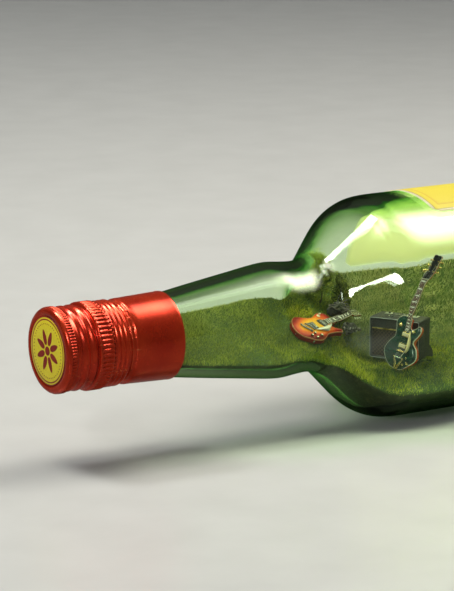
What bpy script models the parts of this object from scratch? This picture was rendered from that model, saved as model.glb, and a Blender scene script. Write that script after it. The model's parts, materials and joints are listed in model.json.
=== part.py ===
"""A glass bottle lying on its side with a small landscape, two guitars and an amplifier inside it.

Stations along the bottle are in mm from the top of the cap; heights are in mm from the bottle's axis.
The row frame has its origin under the middle of the bottle, +X towards the base, +Z up.
"""

import math

import bmesh
import bpy
from mathutils import Matrix, Vector, noise

MM = 0.001

# Bottle
LENGTH = 290.0
BODY_R = 38.5
WALL = 2.7
MOUTH_AT = 2.6
BASE_RING_R = (27.0, 33.5)
SHOULDER_END = 16  # points of the outside before its base corner
SEGMENTS = 40

# Roll-on closure
CAP_END = 23.4
SLEEVE = (25.6, 43.3)
COLLAR_AT = 24.1
THREAD_PITCH = 3.2
THREAD_DEPTH = 0.6
THREAD_ZONE = (5.2, 11.2)
BADGE_R = 11.3

# Label, angles in degrees from straight up, positive towards the front
LABEL_AT = (140.5, 248.0)
LABEL_ARC = (27.0, -81.0)

# Landscape
GROUND_AT = (45.5, 278.0)
GROUND_GAP = 0.35
TERRACE_Z = -20.3
CRUST = 4.6

# Amplifier
AMP_SIZE = (20.4, 9.4, 15.0)
AMP_WALL = 0.9
AMP_CORNER = Vector((128.5, 3.35, -19.35))
AMP_ALONG = Vector((0.509, -0.861, 0.0))

# Guitars, drawn full size in mm with x from the tail to the head, y to the bass side, z out of the top
BURST_SCALE = 1.0 / 23.8
JET_SCALE = 1.0 / 24.0
FIT = 0.9
BODY_LONG = 444.0
BODY_DEEP = 47.0
TOP_Z = 56.0
BRIDGE_X = 150.0
BURST_NECK = (716.0, 905.0)
JET_NECK = (778.0, 985.0)
KNOBS = ((64.0, -84.0), (98.0, -122.0), (118.0, -74.0), (152.0, -112.0))
JET_KNOBS = ((52.0, -60.0), (70.0, -112.0), (112.0, -84.0), (340.0, -86.0))
SWITCH_CLEARANCE = 2.4
ROLLER = (96.0, 18.0)

BURST_TAIL = Vector((96.2, -0.6, -5.0))
BURST_HEAD = Vector((132.1, 13.0, -4.0))
BURST_FACING = Vector((0.06, -0.52, 0.86))
BURST_MIDDLE = BURST_TAIL.lerp(BURST_HEAD, 0.22)
JET_TAIL = Vector((127.7, -13.9, -19.3))
JET_HEAD = Vector((143.5, -14.9, 20.0))
JET_FACING = Vector((-0.93, -0.37, 0.0))


def smooth(low, high, value):
    t = min(1.0, max(0.0, (value - low) / (high - low)))
    return t * t * (3.0 - 2.0 * t)


def ramp(value, width):
    """A corner rounded over width: 0 far below zero, value far above it."""
    return width * math.log1p(math.exp(min(40.0, value / width)))


def along(points, at):
    """The value at a station, linear between (station, value) points."""
    for (a, first), (b, second) in zip(points, points[1:]):
        if at <= b:
            return first + (second - first) * max(0.0, (at - a) / (b - a))
    return points[-1][1]


def clear_scene():
    for obj in list(bpy.data.objects):
        bpy.data.objects.remove(obj, do_unlink=True)


def material(name, colour, roughness, metallic=0.0, transmission=0.0):
    made = bpy.data.materials.new(name)
    made.use_nodes = True
    shader = made.node_tree.nodes["Principled BSDF"]
    shader.inputs["Base Color"].default_value = (*colour, 1.0)
    shader.inputs["Roughness"].default_value = roughness
    shader.inputs["Metallic"].default_value = metallic
    shader.inputs["Transmission Weight"].default_value = transmission
    made.diffuse_color = (*colour, 0.35 if transmission else 1.0)
    return made


def bottle_to_row():
    """From bottle coordinates in mm to the row frame in metres."""
    return Matrix.Scale(MM, 4) @ Matrix.Translation((-LENGTH / 2, 0.0, BODY_R))


def guitar_axes(tail, head, facing):
    axis = (head - tail).normalized()
    out = (facing - axis * facing.dot(axis)).normalized()
    return axis, out.cross(axis), out


def guitar_to_row(tail, head, facing, scale):
    turn = Matrix(guitar_axes(tail, head, facing)).transposed().to_4x4()
    place = Matrix.Translation(tail) @ turn @ Matrix.Scale(scale, 4)
    return bottle_to_row() @ place @ Matrix.Translation((0.0, 0.0, -TOP_Z))


def amp_to_row():
    up = Vector((0.0, 0.0, 1.0))
    side = AMP_ALONG.normalized()
    turn = Matrix((side, up.cross(side), up)).transposed().to_4x4()
    return bottle_to_row() @ Matrix.Translation(AMP_CORNER) @ turn


def finish(name, bm, look, place, pivot=(0.0, 0.0, 0.0), smooth_faces=False):
    """Makes the object, with its origin at the pivot point of the local frame."""
    bmesh.ops.translate(bm, verts=bm.verts, vec=-Vector(pivot))
    bmesh.ops.recalc_face_normals(bm, faces=bm.faces)
    for face in bm.faces:
        face.smooth = smooth_faces
    mesh = bpy.data.meshes.new(name)
    bm.to_mesh(mesh)
    bm.free()
    mesh.materials.append(material(name, *look))
    obj = bpy.data.objects.new(name, mesh)
    bpy.context.scene.collection.objects.link(obj)
    obj.matrix_world = place @ Matrix.Translation(pivot)
    return obj


def skin(bm, rings, wrap=False):
    """Quads between rings of equal length; the two ends are capped, or joined to each other."""
    rows = [[bm.verts.new(point) for point in ring] for ring in rings]
    count = len(rows[0])
    pairs = list(zip(rows, rows[1:]))
    if wrap:
        pairs.append((rows[-1], rows[0]))
    for low, high in pairs:
        for i in range(count):
            j = (i + 1) % count
            bm.faces.new((low[i], low[j], high[j], high[i]))
    if not wrap:
        bm.faces.new(rows[0])
        bm.faces.new(rows[-1])
    return bm


def rings_solid(rings, wrap=False):
    return skin(bmesh.new(), rings, wrap)


def round_x(station, radius, segments=SEGMENTS):
    """A ring about the bottle's axis. The radius is a number, or a function of the angle."""
    ring = []
    for i in range(segments):
        turn = 2.0 * math.pi * i / segments
        r = radius(turn) if callable(radius) else radius
        ring.append((station, r * math.sin(turn), r * math.cos(turn)))
    return ring


def turned(profile, wrap=False, segments=SEGMENTS):
    return rings_solid([round_x(at, radius, segments) for at, radius in profile], wrap)


def drum(centre, axis, radius, length, segments=12):
    """A cylinder from centre along the unit vector axis."""
    start = Vector(centre)
    spin = Vector(axis).to_track_quat("Z", "Y")
    rings = []
    for height in (0.0, length):
        rings.append(
            [
                start
                + spin
                @ Vector(
                    (
                        radius * math.cos(2.0 * math.pi * i / segments),
                        radius * math.sin(2.0 * math.pi * i / segments),
                        height,
                    )
                )
                for i in range(segments)
            ]
        )
    return rings


def block(low, high):
    (x0, y0, z0), (x1, y1, z1) = low, high
    return [[(x0, y0, z), (x1, y0, z), (x1, y1, z), (x0, y1, z)] for z in (z0, z1)]


def slab(outline, low, high):
    return [[(x, y, low) for x, y in outline], [(x, y, high) for x, y in outline]]


def union(obj, others):
    """Joins other objects into this one and removes them."""
    for other in others:
        joined = obj.modifiers.new("join_" + other.name, "BOOLEAN")
        joined.operation = "UNION"
        joined.solver = "EXACT"
        joined.object = other
    bpy.context.view_layer.update()
    graph = bpy.context.evaluated_depsgraph_get()
    mesh = bpy.data.meshes.new_from_object(obj.evaluated_get(graph))
    obj.modifiers.clear()
    obj.data = mesh
    for other in others:
        bpy.data.objects.remove(other, do_unlink=True)
    return obj


def joined(name, shapes, look, place, pivot=(0.0, 0.0, 0.0)):
    """One object from several overlapping ring solids."""
    pieces = [
        finish(f"{name}_{i}" if i else name, rings_solid(rings), look, place, pivot)
        for i, rings in enumerate(shapes)
    ]
    return union(pieces[0], pieces[1:])


# Glass


def glass_outer():
    """(station, radius) down the outside, from below the cap to the base corner."""
    neck = [
        (44.0, 14.1),
        (50.0, 15.0),
        (60.0, 16.45),
        (72.0, 18.1),
        (81.0, 19.35),
        (86.0, 19.7),
        (91.0, 19.25),
        (96.0, 18.95),
        (100.0, 19.45),
        (103.0, 20.8),
        (106.5, 23.6),
        (117.5, 34.4),
        (120.0, 36.6),
        (122.5, 37.9),
        (126.0, 38.4),
        (132.0, BODY_R),
    ]
    corner = [
        (
            LENGTH - 6.0 + 6.0 * math.sin(math.radians(a)),
            BODY_R - 6.0 + 6.0 * math.cos(math.radians(a)),
        )
        for a in (0, 30, 60, 85)
    ]
    return neck + corner


def glass_radius(at):
    return along(glass_outer(), at)


def inner_radius(at):
    """The hollow's radius. Its shoulder starts a little later than the outside's, as in blown glass."""
    return glass_radius(at) - WALL


def thread(at, turn, start, end):
    """0 to 1: a right-handed helical ridge that dies out at both ends of its zone."""
    phase = (at + THREAD_PITCH * turn / (2.0 * math.pi)) / THREAD_PITCH
    ridge = 0.5 + 0.5 * math.cos(2.0 * math.pi * phase)
    return ridge * smooth(start, start + 1.2, at) * (1.0 - smooth(end - 1.2, end, at))


def steps(low, high, count):
    return [low + (high - low) * i / count for i in range(count + 1)]


def build_bottle(place):
    profile = [(LENGTH - 1.5, 8.0), (LENGTH - 1.5, 22.0)]
    profile += [(LENGTH, BASE_RING_R[0]), (LENGTH, BASE_RING_R[1])]
    profile += glass_outer()[-2::-1]
    profile += [(26.0, 13.3), (24.6, 12.9), (14.0, 12.7), (12.6, 12.3)]
    rings = [round_x(at, r) for at, r in profile]
    for at in steps(THREAD_ZONE[1], THREAD_ZONE[0], 10):
        rings.append(
            round_x(at, lambda turn, at=at: 12.2 + THREAD_DEPTH * thread(at, turn, *THREAD_ZONE))
        )
    for at, r in ((3.4, 12.2), (MOUTH_AT, 11.6), (MOUTH_AT, 9.9), (4.0, 9.6), (30.0, 9.8)):
        rings.append(round_x(at, r))
    for at, r in glass_outer()[:SHOULDER_END]:
        rings.append(round_x(at, r - WALL))
    for at, inset in ((LENGTH - 11.0, 0.0), (LENGTH - 6.5, 3.0), (LENGTH - 5.5, 9.0)):
        rings.append(round_x(at, BODY_R - WALL - inset))
    look = ((0.10, 0.42, 0.20), 0.03, 0.0, 0.9)
    finish("bottle_glass", rings_solid(rings), look, place, smooth_faces=True)


def build_cap(place):
    rings = [round_x(0.3, 4.0), round_x(0.3, BADGE_R + 0.2), round_x(0.0, BADGE_R + 0.4)]
    rings += [round_x(0.0, 13.2), round_x(0.5, 13.95), round_x(1.4, 14.2)]
    rings += [round_x(3.4, 14.2), round_x(3.7, 13.7)]
    for at in steps(4.2, 11.6, 11):
        rings.append(round_x(at, lambda turn, at=at: 13.5 + 0.45 * thread(at, turn, 4.2, 11.6)))
    outside = [
        (12.1, 14.45),
        (16.9, 14.45),
        (17.4, 14.2),
        (18.2, 14.15),
        (20.0, 14.0),
        (CAP_END, 13.95),
    ]
    inside = [(CAP_END, 13.2), (12.6, 13.2), (12.0, 13.2)]
    rings += [round_x(at, r) for at, r in outside + inside]
    for at in steps(11.6, 3.9, 11):
        rings.append(round_x(at, lambda turn, at=at: 12.5 + 0.55 * thread(at, turn, 3.6, 14.0)))
    rings += [round_x(3.2, 12.6), round_x(1.0, 12.6), round_x(1.0, 4.0)]
    look = ((0.55, 0.03, 0.02), 0.25, 0.9)
    finish("cap_shell", rings_solid(rings), look, place, smooth_faces=True)
    badge = [(0.22, BADGE_R), (0.02, BADGE_R), (0.02, 4.0)]
    look = ((0.86, 0.66, 0.08), 0.4)
    finish("cap_badge", turned(badge), look, place)
    liner = [(1.15, 4.0), (1.15, 12.4), (MOUTH_AT - 0.1, 12.4), (MOUTH_AT - 0.1, 4.0)]
    look = ((0.82, 0.82, 0.78), 0.6)
    finish("cap_liner", turned(liner), look, place)
    band = [
        (COLLAR_AT, 13.5),
        (SLEEVE[0] - 0.4, 13.6),
        (SLEEVE[0], 13.85),
        (SLEEVE[0] + 0.7, 14.1),
        (30.0, 14.3),
        (SLEEVE[1] - 0.5, 14.72),
        (SLEEVE[1], 14.6),
        (SLEEVE[1], 14.3),
        (30.0, 13.95),
        (SLEEVE[0], 13.5),
        (COLLAR_AT, 13.3),
    ]
    look = ((0.50, 0.02, 0.02), 0.22, 0.9)
    finish("tamper_sleeve", turned(band, wrap=True), look, place, smooth_faces=True)


def build_label(place):
    facet = 360.0 / SEGMENTS
    count = round((LABEL_ARC[0] - LABEL_ARC[1]) / facet)
    rings = []
    for at in LABEL_AT:
        ring = []
        for radius in (BODY_R + 0.05, BODY_R + 0.28):
            row = []
            for i in range(count + 1):
                turn = math.radians(LABEL_ARC[0] - facet * i)
                row.append((at, -radius * math.sin(turn), radius * math.cos(turn)))
            ring += row if radius < BODY_R + 0.1 else row[::-1]
        rings.append(ring)
    look = ((0.85, 0.68, 0.12), 0.55)
    finish("front_label", rings_solid(rings), look, place)


# Landscape


def burst_back(at, y):
    """The height of the plane just behind the lying guitar's back."""
    out = guitar_axes(BURST_TAIL, BURST_HEAD, BURST_FACING)[2]
    drop = (out.x * (at - BURST_TAIL.x) + out.y * (y - BURST_TAIL.y)) / out.z
    return BURST_TAIL.z - drop - (TOP_Z * BURST_SCALE + 0.45) / out.z


def ground_height(at, y):
    """The turf's height over the bottle's axis line: a bank in the neck, a terrace and a hillside beyond it."""
    r = inner_radius(at)
    neck = -0.42 * r + 0.5 * y + 0.3 * ramp(y, 2.0)
    body = -19.7 + 0.05 * (y + 4.0) - 0.42 * ramp(-12.0 - y, 2.5) + 0.82 * ramp(y - 6.0, 2.5)
    height = neck + (body - neck) * smooth(101.0, 133.0, at)
    middle = AMP_CORNER + AMP_ALONG * AMP_SIZE[0] / 2 + Vector((4.0, 2.4, 0.0))
    away = math.hypot(at - middle.x, y - middle.y)
    height += (TERRACE_Z - height) * (1.0 - smooth(12.0, 19.0, away))
    nearest = 1.0 - smooth(11.5, 16.0, math.hypot(at - BURST_MIDDLE.x, y - BURST_MIDDLE.y))
    height -= nearest * max(0.0, height - burst_back(at, y))
    swell = noise.noise(Vector((at * 0.055, y * 0.075, 3.0)))
    return height + 0.9 * swell * smooth(10.0, 24.0, away) * smooth(100.0, 140.0, at)


def ground_section(at, count=18):
    """One closed cross-section: along the turf from front to rear, then back along the glass."""
    r = inner_radius(at) - GROUND_GAP
    edges = []
    for sign in (-1.0, 1.0):
        near, far = 0.0, math.pi
        for _ in range(40):
            middle = (near + far) / 2.0
            y = sign * r * math.sin(middle)
            if -r * math.cos(middle) < ground_height(at, y):
                near = middle
            else:
                far = middle
        edges.append(sign * near)
    front, rear = r * math.sin(edges[0]), r * math.sin(edges[1])
    ring = []
    for i in range(count + 1):
        y = front + (rear - front) * i / count
        ring.append((at, y, ground_height(at, y) if 0 < i < count else -math.sqrt(r * r - y * y)))
    if edges[1] > math.pi / 2:
        ring[-1] = (at, rear, -r * math.cos(edges[1]))
    for i in range(1, count):
        y = rear + (front - rear) * i / count
        glass = -math.sqrt(max(0.0, r * r - y * y))
        top = ground_height(at, y)
        crust = top - CRUST * r / 35.0
        under = glass + (max(glass, crust) - glass) * smooth(-0.1 * r, 0.2 * r, y)
        ring.append((at, y, min(under, top - 0.4)))
    return ring


def build_ground(place):
    stations = steps(GROUND_AT[0], 94.0, 6)[:-1] + steps(94.0, 158.0, 18)[:-1]
    stations += steps(158.0, GROUND_AT[1], 7)
    look = ((0.11, 0.17, 0.03), 0.95)
    rings = [ground_section(at) for at in stations]
    finish("ground", rings_solid(rings), look, place)


def lump(centre, size, seed, rough, subdivisions=2):
    """A rounded, uneven mass that stands just clear of the turf."""
    bm = bmesh.new()
    bmesh.ops.create_icosphere(bm, subdivisions=subdivisions, radius=1.0)
    for vert in bm.verts:
        bump = 1.0 + rough * noise.noise(vert.co * 1.9 + Vector((seed, 0.0, 0.0)))
        point = Vector([centre[k] + vert.co[k] * size[k] * bump for k in range(3)])
        floor = ground_height(point.x, point.y) + 0.45
        vert.co = (point.x, point.y, max(point.z, floor + 0.12 * (vert.co.z + 1.0)))
    return bm


def build_planting(place):
    shrub = ((0.03, 0.07, 0.02), 0.9)
    finish("shrub", lump((125.0, 18.2, 0.5), (4.6, 3.8, 8.0), 4.0, 0.35), shrub, place)
    canopy = [(0.0, 0.8), (4.0, 0.6), (7.5, 0.7), (9.0, 2.6), (12.0, 4.0), (16.0, 3.8), (19.0, 2.0)]
    foot = Vector((117.6, 20.5, 0.0))
    foot.z = ground_height(foot.x, foot.y) + 0.9
    rings = []
    for height, radius in canopy:
        ring = []
        for i in range(14):
            turn = 2.0 * math.pi * i / 14
            r = radius * (1.0 + 0.12 * math.sin(3.0 * turn + height))
            away = Vector((r * math.cos(turn), r * math.sin(turn) * 0.8, height))
            ring.append(foot + away)
        rings.append(ring)
    finish("sapling", rings_solid(rings), ((0.32, 0.42, 0.06), 0.9), place)
    stone = ((0.16, 0.15, 0.13), 0.85)
    finish("boulder", lump((119.6, 13.0, -2.9), (3.8, 2.2, 2.8), 9.0, 0.5), stone, place)
    finish("stone_heap", lump((121.6, 7.6, -9.6), (5.4, 3.4, 3.2), 2.0, 0.4), stone, place)


# Amplifier


def rounded(x0, z0, x1, z1, radius, y):
    """A rounded rectangle ring in the amplifier's front plane."""
    ring = []
    for cx, cz, first in (
        (x1 - radius, z1 - radius, 0),
        (x0 + radius, z1 - radius, 90),
        (x0 + radius, z0 + radius, 180),
        (x1 - radius, z0 + radius, 270),
    ):
        for k in range(3):
            turn = math.radians(first + 45 * k)
            ring.append((cx + radius * math.cos(turn), y, cz + radius * math.sin(turn)))
    return ring


def panel(low, high, y0, y1):
    return block((low[0], y0, low[1]), (high[0], y1, high[1]))


def build_amp(place):
    wide, deep, tall = AMP_SIZE
    wall, lift = AMP_WALL, 0.45
    inner = (wall, lift + wall, wide - wall, tall - wall)
    outer = (0.0, lift, wide, tall)
    tube = [rounded(*outer, 0.8, 0.2), rounded(*outer, 0.8, deep)]
    tube += [rounded(*inner, 0.2, deep), rounded(*inner, 0.2, 0.2)]
    black = ((0.02, 0.02, 0.022), 0.55)
    finish("amp_cabinet", rings_solid(tube, wrap=True), black, place)
    piping = [rounded(0.1, lift + 0.1, wide - 0.1, tall - 0.1, 0.75, y) for y in (-0.12, 0.15)]
    piping += [rounded(0.5, lift + 0.5, wide - 0.5, tall - 0.5, 0.45, y) for y in (0.15, -0.12)]
    finish("amp_piping", rings_solid(piping, wrap=True), ((0.55, 0.56, 0.55), 0.5), place)
    left, right = wall + 0.06, wide - wall - 0.06
    split = tall - wall - 3.3
    strip = ((0.75, 0.55, 0.2), 0.3, 0.8)
    cloth = rings_solid(panel((left, lift + wall + 0.06), (right, split - 0.05), 0.45, 0.9))
    finish("amp_grille", cloth, ((0.05, 0.035, 0.025), 0.9), place)
    bar = rings_solid(panel((left, split), (right, split + 0.4), 0.3, 0.9))
    finish("amp_strip", bar, strip, place)
    upper = rings_solid(panel((left, split + 0.45), (right, tall - wall - 0.06), 0.45, 0.9))
    finish("amp_upper_panel", upper, black, place)
    back = rings_solid(panel((left, lift + wall + 0.06), (right, tall - wall - 0.06), deep - 0.8, deep - 0.3))
    finish("amp_back_panel", back, black, place)
    centre = Vector((wide / 2, 0.0, (lift + wall + split) / 2))
    cone = []
    for depth, radius in ((1.1, 4.5), (1.6, 4.5), (3.6, 2.3), (6.0, 2.3)):
        cone.append([centre + Vector((x, depth, z)) for _, x, z in round_x(0.0, radius, 20)])
    finish("amp_speaker", rings_solid(cone), ((0.1, 0.1, 0.1), 0.8), place)
    controls = rings_solid(block((3.0, 5.9, tall + 0.05), (wide - 3.0, 8.3, tall + 0.25)))
    finish("amp_control_panel", controls, ((0.5, 0.5, 0.5), 0.3, 0.9), place)
    rings = []
    for i in range(9):
        t = i / 8.0
        x = wide / 2 + 3.6 * (2.0 * t - 1.0)
        z = tall + 0.12 + 1.0 * math.sin(math.pi * t) ** 0.6
        rings.append([(x, y, z + dz) for y, dz in ((2.6, 0.0), (4.0, 0.0), (4.0, 0.35), (2.6, 0.35))])
    finish("amp_handle", rings_solid(rings), black, place)
    feet = ((1.6, 1.4), (wide - 1.6, 1.4), (wide - 1.6, deep - 1.4), (1.6, deep - 1.4))
    for i, (x, y) in enumerate(feet):
        rings = drum((x, y, 0.0), (0, 0, 1), 0.6, lift - 0.05)
        finish(f"amp_foot_{i + 1}", rings_solid(rings), ((0.02, 0.02, 0.02), 0.8), place)


# Guitars


def body_outline(bout, horn, notch, slim=1.0, waist=108.0):
    """A single-cut body as a smooth closed curve. notch is the cutaway's depth, waist the treble side's half width."""
    bass = [
        (0.0, 0.0),
        (14.0, 74.0),
        (66.0, 138.0),
        (130.0, bout),
        (198.0, 148.0),
        (258.0, 108.0),
        (318.0, 118.0),
        (384.0, 134.0),
        (430.0, 96.0),
        (BODY_LONG, 34.0),
    ]
    cutaway = [(BODY_LONG - 6.0, -27.0), (notch + 22.0, -35.0), (notch, -61.0), (notch + 18.0, -86.0)]
    cutaway += [horn, (horn[0] - 16.0, horn[1] - 23.0), (horn[0] - 62.0, -130.0)]
    treble = [(x, -max(y, waist) if x > 198.0 else -y) for x, y in bass[1:6]][::-1]
    points = [Vector(point) for point in bass + cutaway + treble]
    count = len(points)
    curve = []
    for i in range(count):
        a, b, c, d = (points[(i + k) % count] for k in (-1, 0, 1, 2))
        for t in (0.0, 0.5):
            curve.append(
                0.5
                * (2 * b + (c - a) * t + (2 * a - 5 * b + 4 * c - d) * t**2 + (3 * b - a - 3 * c + d) * t**3)
            )
    return [(point.x, point.y * slim) for point in curve]


def scaled(outline, factor, centre=(215.0, 0.0)):
    return [
        (centre[0] + (x - centre[0]) * factor, centre[1] + (y - centre[1]) * factor)
        for x, y in outline
    ]


def build_body(name, outline, look, place):
    layers = ((0.97, 0.0), (1.0, 4.0), (1.0, BODY_DEEP), (0.955, BODY_DEEP + 4.0), (0.82, TOP_Z))
    rings = [[(x, y, z) for x, y in scaled(outline, factor)] for factor, z in layers]
    finish(name, rings_solid(rings), look, place)


def build_neck(prefix, look, board_look, place, board_end, ends):
    """The neck with its heel and head, and the board on top of it. ends are the nut's and the tip's x."""
    deck = TOP_Z + FIT
    nut, tip = ends
    stations = (
        (BODY_LONG + 1.5, 27.0, 30.0),
        (470.0, 26.5, 34.0),
        (500.0, 26.0, 42.0),
        (nut, 21.5, 45.0),
    )
    rings = []
    for x, half, low in stations:
        rings.append([(x, -half, deck), (x, half, deck), (x, half * 0.9, low + 4.0), (x, half * 0.45, low)])
        rings[-1] += [(x, -half * 0.45, low), (x, -half * 0.9, low + 4.0)]
    head = (
        (nut + 22.0, 23.0, -3.0),
        (nut + 45.0, 30.0, -8.0),
        (tip - 42.0, 34.0, -30.0),
        (tip - 14.0, 29.0, -37.0),
        (tip, 12.0, -40.0),
    )
    for x, half, drop in head:
        top = deck + drop
        rings.append([(x, -half, top), (x, half, top), (x, half, top - 10.0), (x, half * 0.5, top - 14.0)])
        rings[-1] += [(x, -half * 0.5, top - 14.0), (x, -half, top - 10.0)]
    finish(f"{prefix}_neck", rings_solid(rings), look, place)
    board = [(board_end, -28.5), (board_end, 28.5), (nut, 21.5), (nut, -21.5)]
    rings = slab(board, deck + FIT, deck + FIT + 6.0)
    finish(f"{prefix}_fretboard", rings_solid(rings), board_look, place)


def build_tuners(prefix, look, place, tip):
    """Each side's three tuners on one plate behind the head."""
    for side, word in ((1.0, "bass"), (-1.0, "treble")):
        y = side * 38.0
        shapes = [block((tip - 157.0, min(y, y + side * 4.0), 22.0), (tip - 41.0, max(y, y + side * 4.0), 30.0))]
        for x in (tip - 143.0, tip - 99.0, tip - 55.0):
            low, high = sorted((y + side * 2.0, y + side * 24.0))
            shapes.append(block((x - 8.0, low, 20.0), (x + 8.0, high, 34.0)))
        joined(f"{prefix}_tuners_{word}", shapes, look, place)


def build_knobs(prefix, spots, look, place):
    for i, (x, y) in enumerate(spots):
        foot = (x, y, TOP_Z + FIT)
        rings = drum(foot, (0, 0, 1), 12.0, 16.0, 12)
        finish(f"{prefix}_knob_{i + 1}", rings_solid(rings), look, place, pivot=foot)


def build_selector(prefix, spot, look, place):
    foot = (*spot, TOP_Z + SWITCH_CLEARANCE)
    rings = drum(foot, (0, 0, 1), 8.0, 26.0, 8)
    finish(f"{prefix}_selector", rings_solid(rings), look, place, pivot=foot)


def build_pickups(prefix, spots, half, look, place):
    for x, word in zip(spots, ("bridge", "neck")):
        low, high = (x - half, -39.0, TOP_Z + FIT), (x + half, 39.0, TOP_Z + 13.0)
        finish(f"{prefix}_pickup_{word}", rings_solid(block(low, high)), look, place)


def cylinder_bar(x, z, half, radius, segments=10):
    return drum((x, -half, z), (0, 1, 0), radius, 2.0 * half, segments)


def build_burst(place):
    outline = body_outline(165.0, (414.0, -118.0), 366.0, 0.9, 124.0)
    build_body("burst_body", outline, ((0.75, 0.26, 0.03), 0.2), place)
    wood = ((0.22, 0.03, 0.02), 0.3)
    dark = ((0.03, 0.015, 0.01), 0.5)
    chrome = ((0.6, 0.6, 0.6), 0.2, 1.0)
    build_neck("burst", wood, dark, place, 326.0, BURST_NECK)
    build_tuners("burst", chrome, place, BURST_NECK[1])
    guard = [(166.0, -44.0), (330.0, -44.0), (352.0, -34.0), (356.0, -52.0), (300.0, -84.0), (216.0, -84.0)]
    plate = rings_solid(slab(guard, TOP_Z + 8.0, TOP_Z + 11.0))
    finish("burst_pickguard", plate, ((0.85, 0.80, 0.62), 0.35), place)
    build_pickups("burst", (190.0, 296.0), 18.0, ((0.35, 0.36, 0.36), 0.3, 0.8), place)
    bridge = block((BRIDGE_X - 8.0, -42.0, TOP_Z + FIT), (BRIDGE_X + 8.0, 42.0, TOP_Z + 14.0))
    finish("burst_bridge", rings_solid(bridge), chrome, place)
    tail = block((100.0, -52.0, TOP_Z + FIT), (116.0, 52.0, TOP_Z + 14.0))
    finish("burst_tailpiece", rings_solid(tail), chrome, place)
    build_knobs("burst", KNOBS, ((0.05, 0.03, 0.02), 0.3), place)
    build_selector("burst", (352.0, 84.0), ((0.8, 0.75, 0.6), 0.4), place)


def build_jet(place):
    outline = body_outline(168.0, (396.0, -106.0), 352.0)
    build_body("jet_body", outline, ((0.01, 0.10, 0.06), 0.2), place)
    wood = ((0.30, 0.06, 0.03), 0.3)
    build_neck("jet", wood, ((0.10, 0.04, 0.02), 0.5), place, 318.0, JET_NECK)
    gold = ((0.80, 0.58, 0.22), 0.25, 1.0)
    build_tuners("jet", gold, place, JET_NECK[1])
    guard = [(150.0, -50.0), (162.0, -44.0), (330.0, -44.0), (336.0, -52.0), (250.0, -92.0), (176.0, -88.0)]
    plate = rings_solid(slab(guard, TOP_Z + 8.0, TOP_Z + 11.0))
    finish("jet_pickguard", plate, ((0.75, 0.62, 0.32), 0.3), place)
    build_pickups("jet", (196.0, 292.0), 16.0, ((0.75, 0.65, 0.42), 0.35, 0.4), place)
    bridge = block((BRIDGE_X - 7.0, -40.0, TOP_Z + FIT), (BRIDGE_X + 7.0, 40.0, TOP_Z + 14.0))
    finish("jet_bridge", rings_solid(bridge), gold, place)
    x, z = ROLLER
    vee = [(6.0, -15.0), (6.0, 15.0), (x - 12.0, 46.0), (x + 6.0, 46.0), (x + 6.0, 36.0), (x - 8.0, 36.0)]
    vee += [(36.0, 5.0), (36.0, -5.0), (x - 8.0, -36.0), (x + 6.0, -36.0), (x + 6.0, -46.0), (x - 12.0, -46.0)]
    shapes = [slab(vee, TOP_Z + FIT, TOP_Z + 7.0)]
    for side in (-1.0, 1.0):
        low, high = sorted((side * 36.5, side * 45.5))
        shapes.append(block((x - 7.0, low, TOP_Z + 3.0), (x + 5.0, high, TOP_Z + z + 4.0)))
    joined("jet_vibrato_frame", shapes, gold, place)
    axle = (x, 0.0, TOP_Z + z)
    bar = rings_solid(cylinder_bar(x, TOP_Z + z, 34.0, 7.0))
    finish("jet_vibrato_roller", bar, ((0.62, 0.60, 0.52), 0.2, 1.0), place, pivot=axle)
    pin = (x + 8.0, -24.0, TOP_Z + z + 8.5)
    rings = []
    for i in range(8):
        t = i / 7.0
        centre = Vector((pin[0] + 104.0 * t, pin[1] - 34.0 * math.sin(1.9 * t), pin[2] + 12.0 * t))
        half = 6.0 if i in (0, 7) else 5.0
        rings.append([centre + Vector((0.0, dy, dz)) for dy, dz in ((-half, -3), (half, -3), (half, 3), (-half, 3))])
    arm = rings_solid(rings)
    finish("jet_vibrato_arm", arm, ((0.85, 0.83, 0.78), 0.2, 1.0), place, pivot=pin)
    build_knobs("jet", JET_KNOBS, gold, place)
    build_selector("jet", (356.0, 84.0), gold, place)
    button = drum((-1.0, 0.0, 26.0), (-1, 0, 0), 7.0, 10.0)
    finish("jet_strap_button", rings_solid(button), gold, place)


def main():
    clear_scene()
    place = bottle_to_row()
    build_bottle(place)
    build_cap(place)
    build_label(place)
    build_ground(place)
    build_planting(place)
    build_amp(amp_to_row())
    build_burst(guitar_to_row(BURST_TAIL, BURST_HEAD, BURST_FACING, BURST_SCALE))
    build_jet(guitar_to_row(JET_TAIL, JET_HEAD, JET_FACING, JET_SCALE))


main()
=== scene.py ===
"""Looks for the glass bottle with a guitar landscape inside it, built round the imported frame."""

import json
import random
from math import cos, degrees, hypot, pi, radians, sin, sqrt, tan

import bmesh
import bpy
from mathutils import Matrix, Vector, noise
from mathutils.bvhtree import BVHTree


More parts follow.
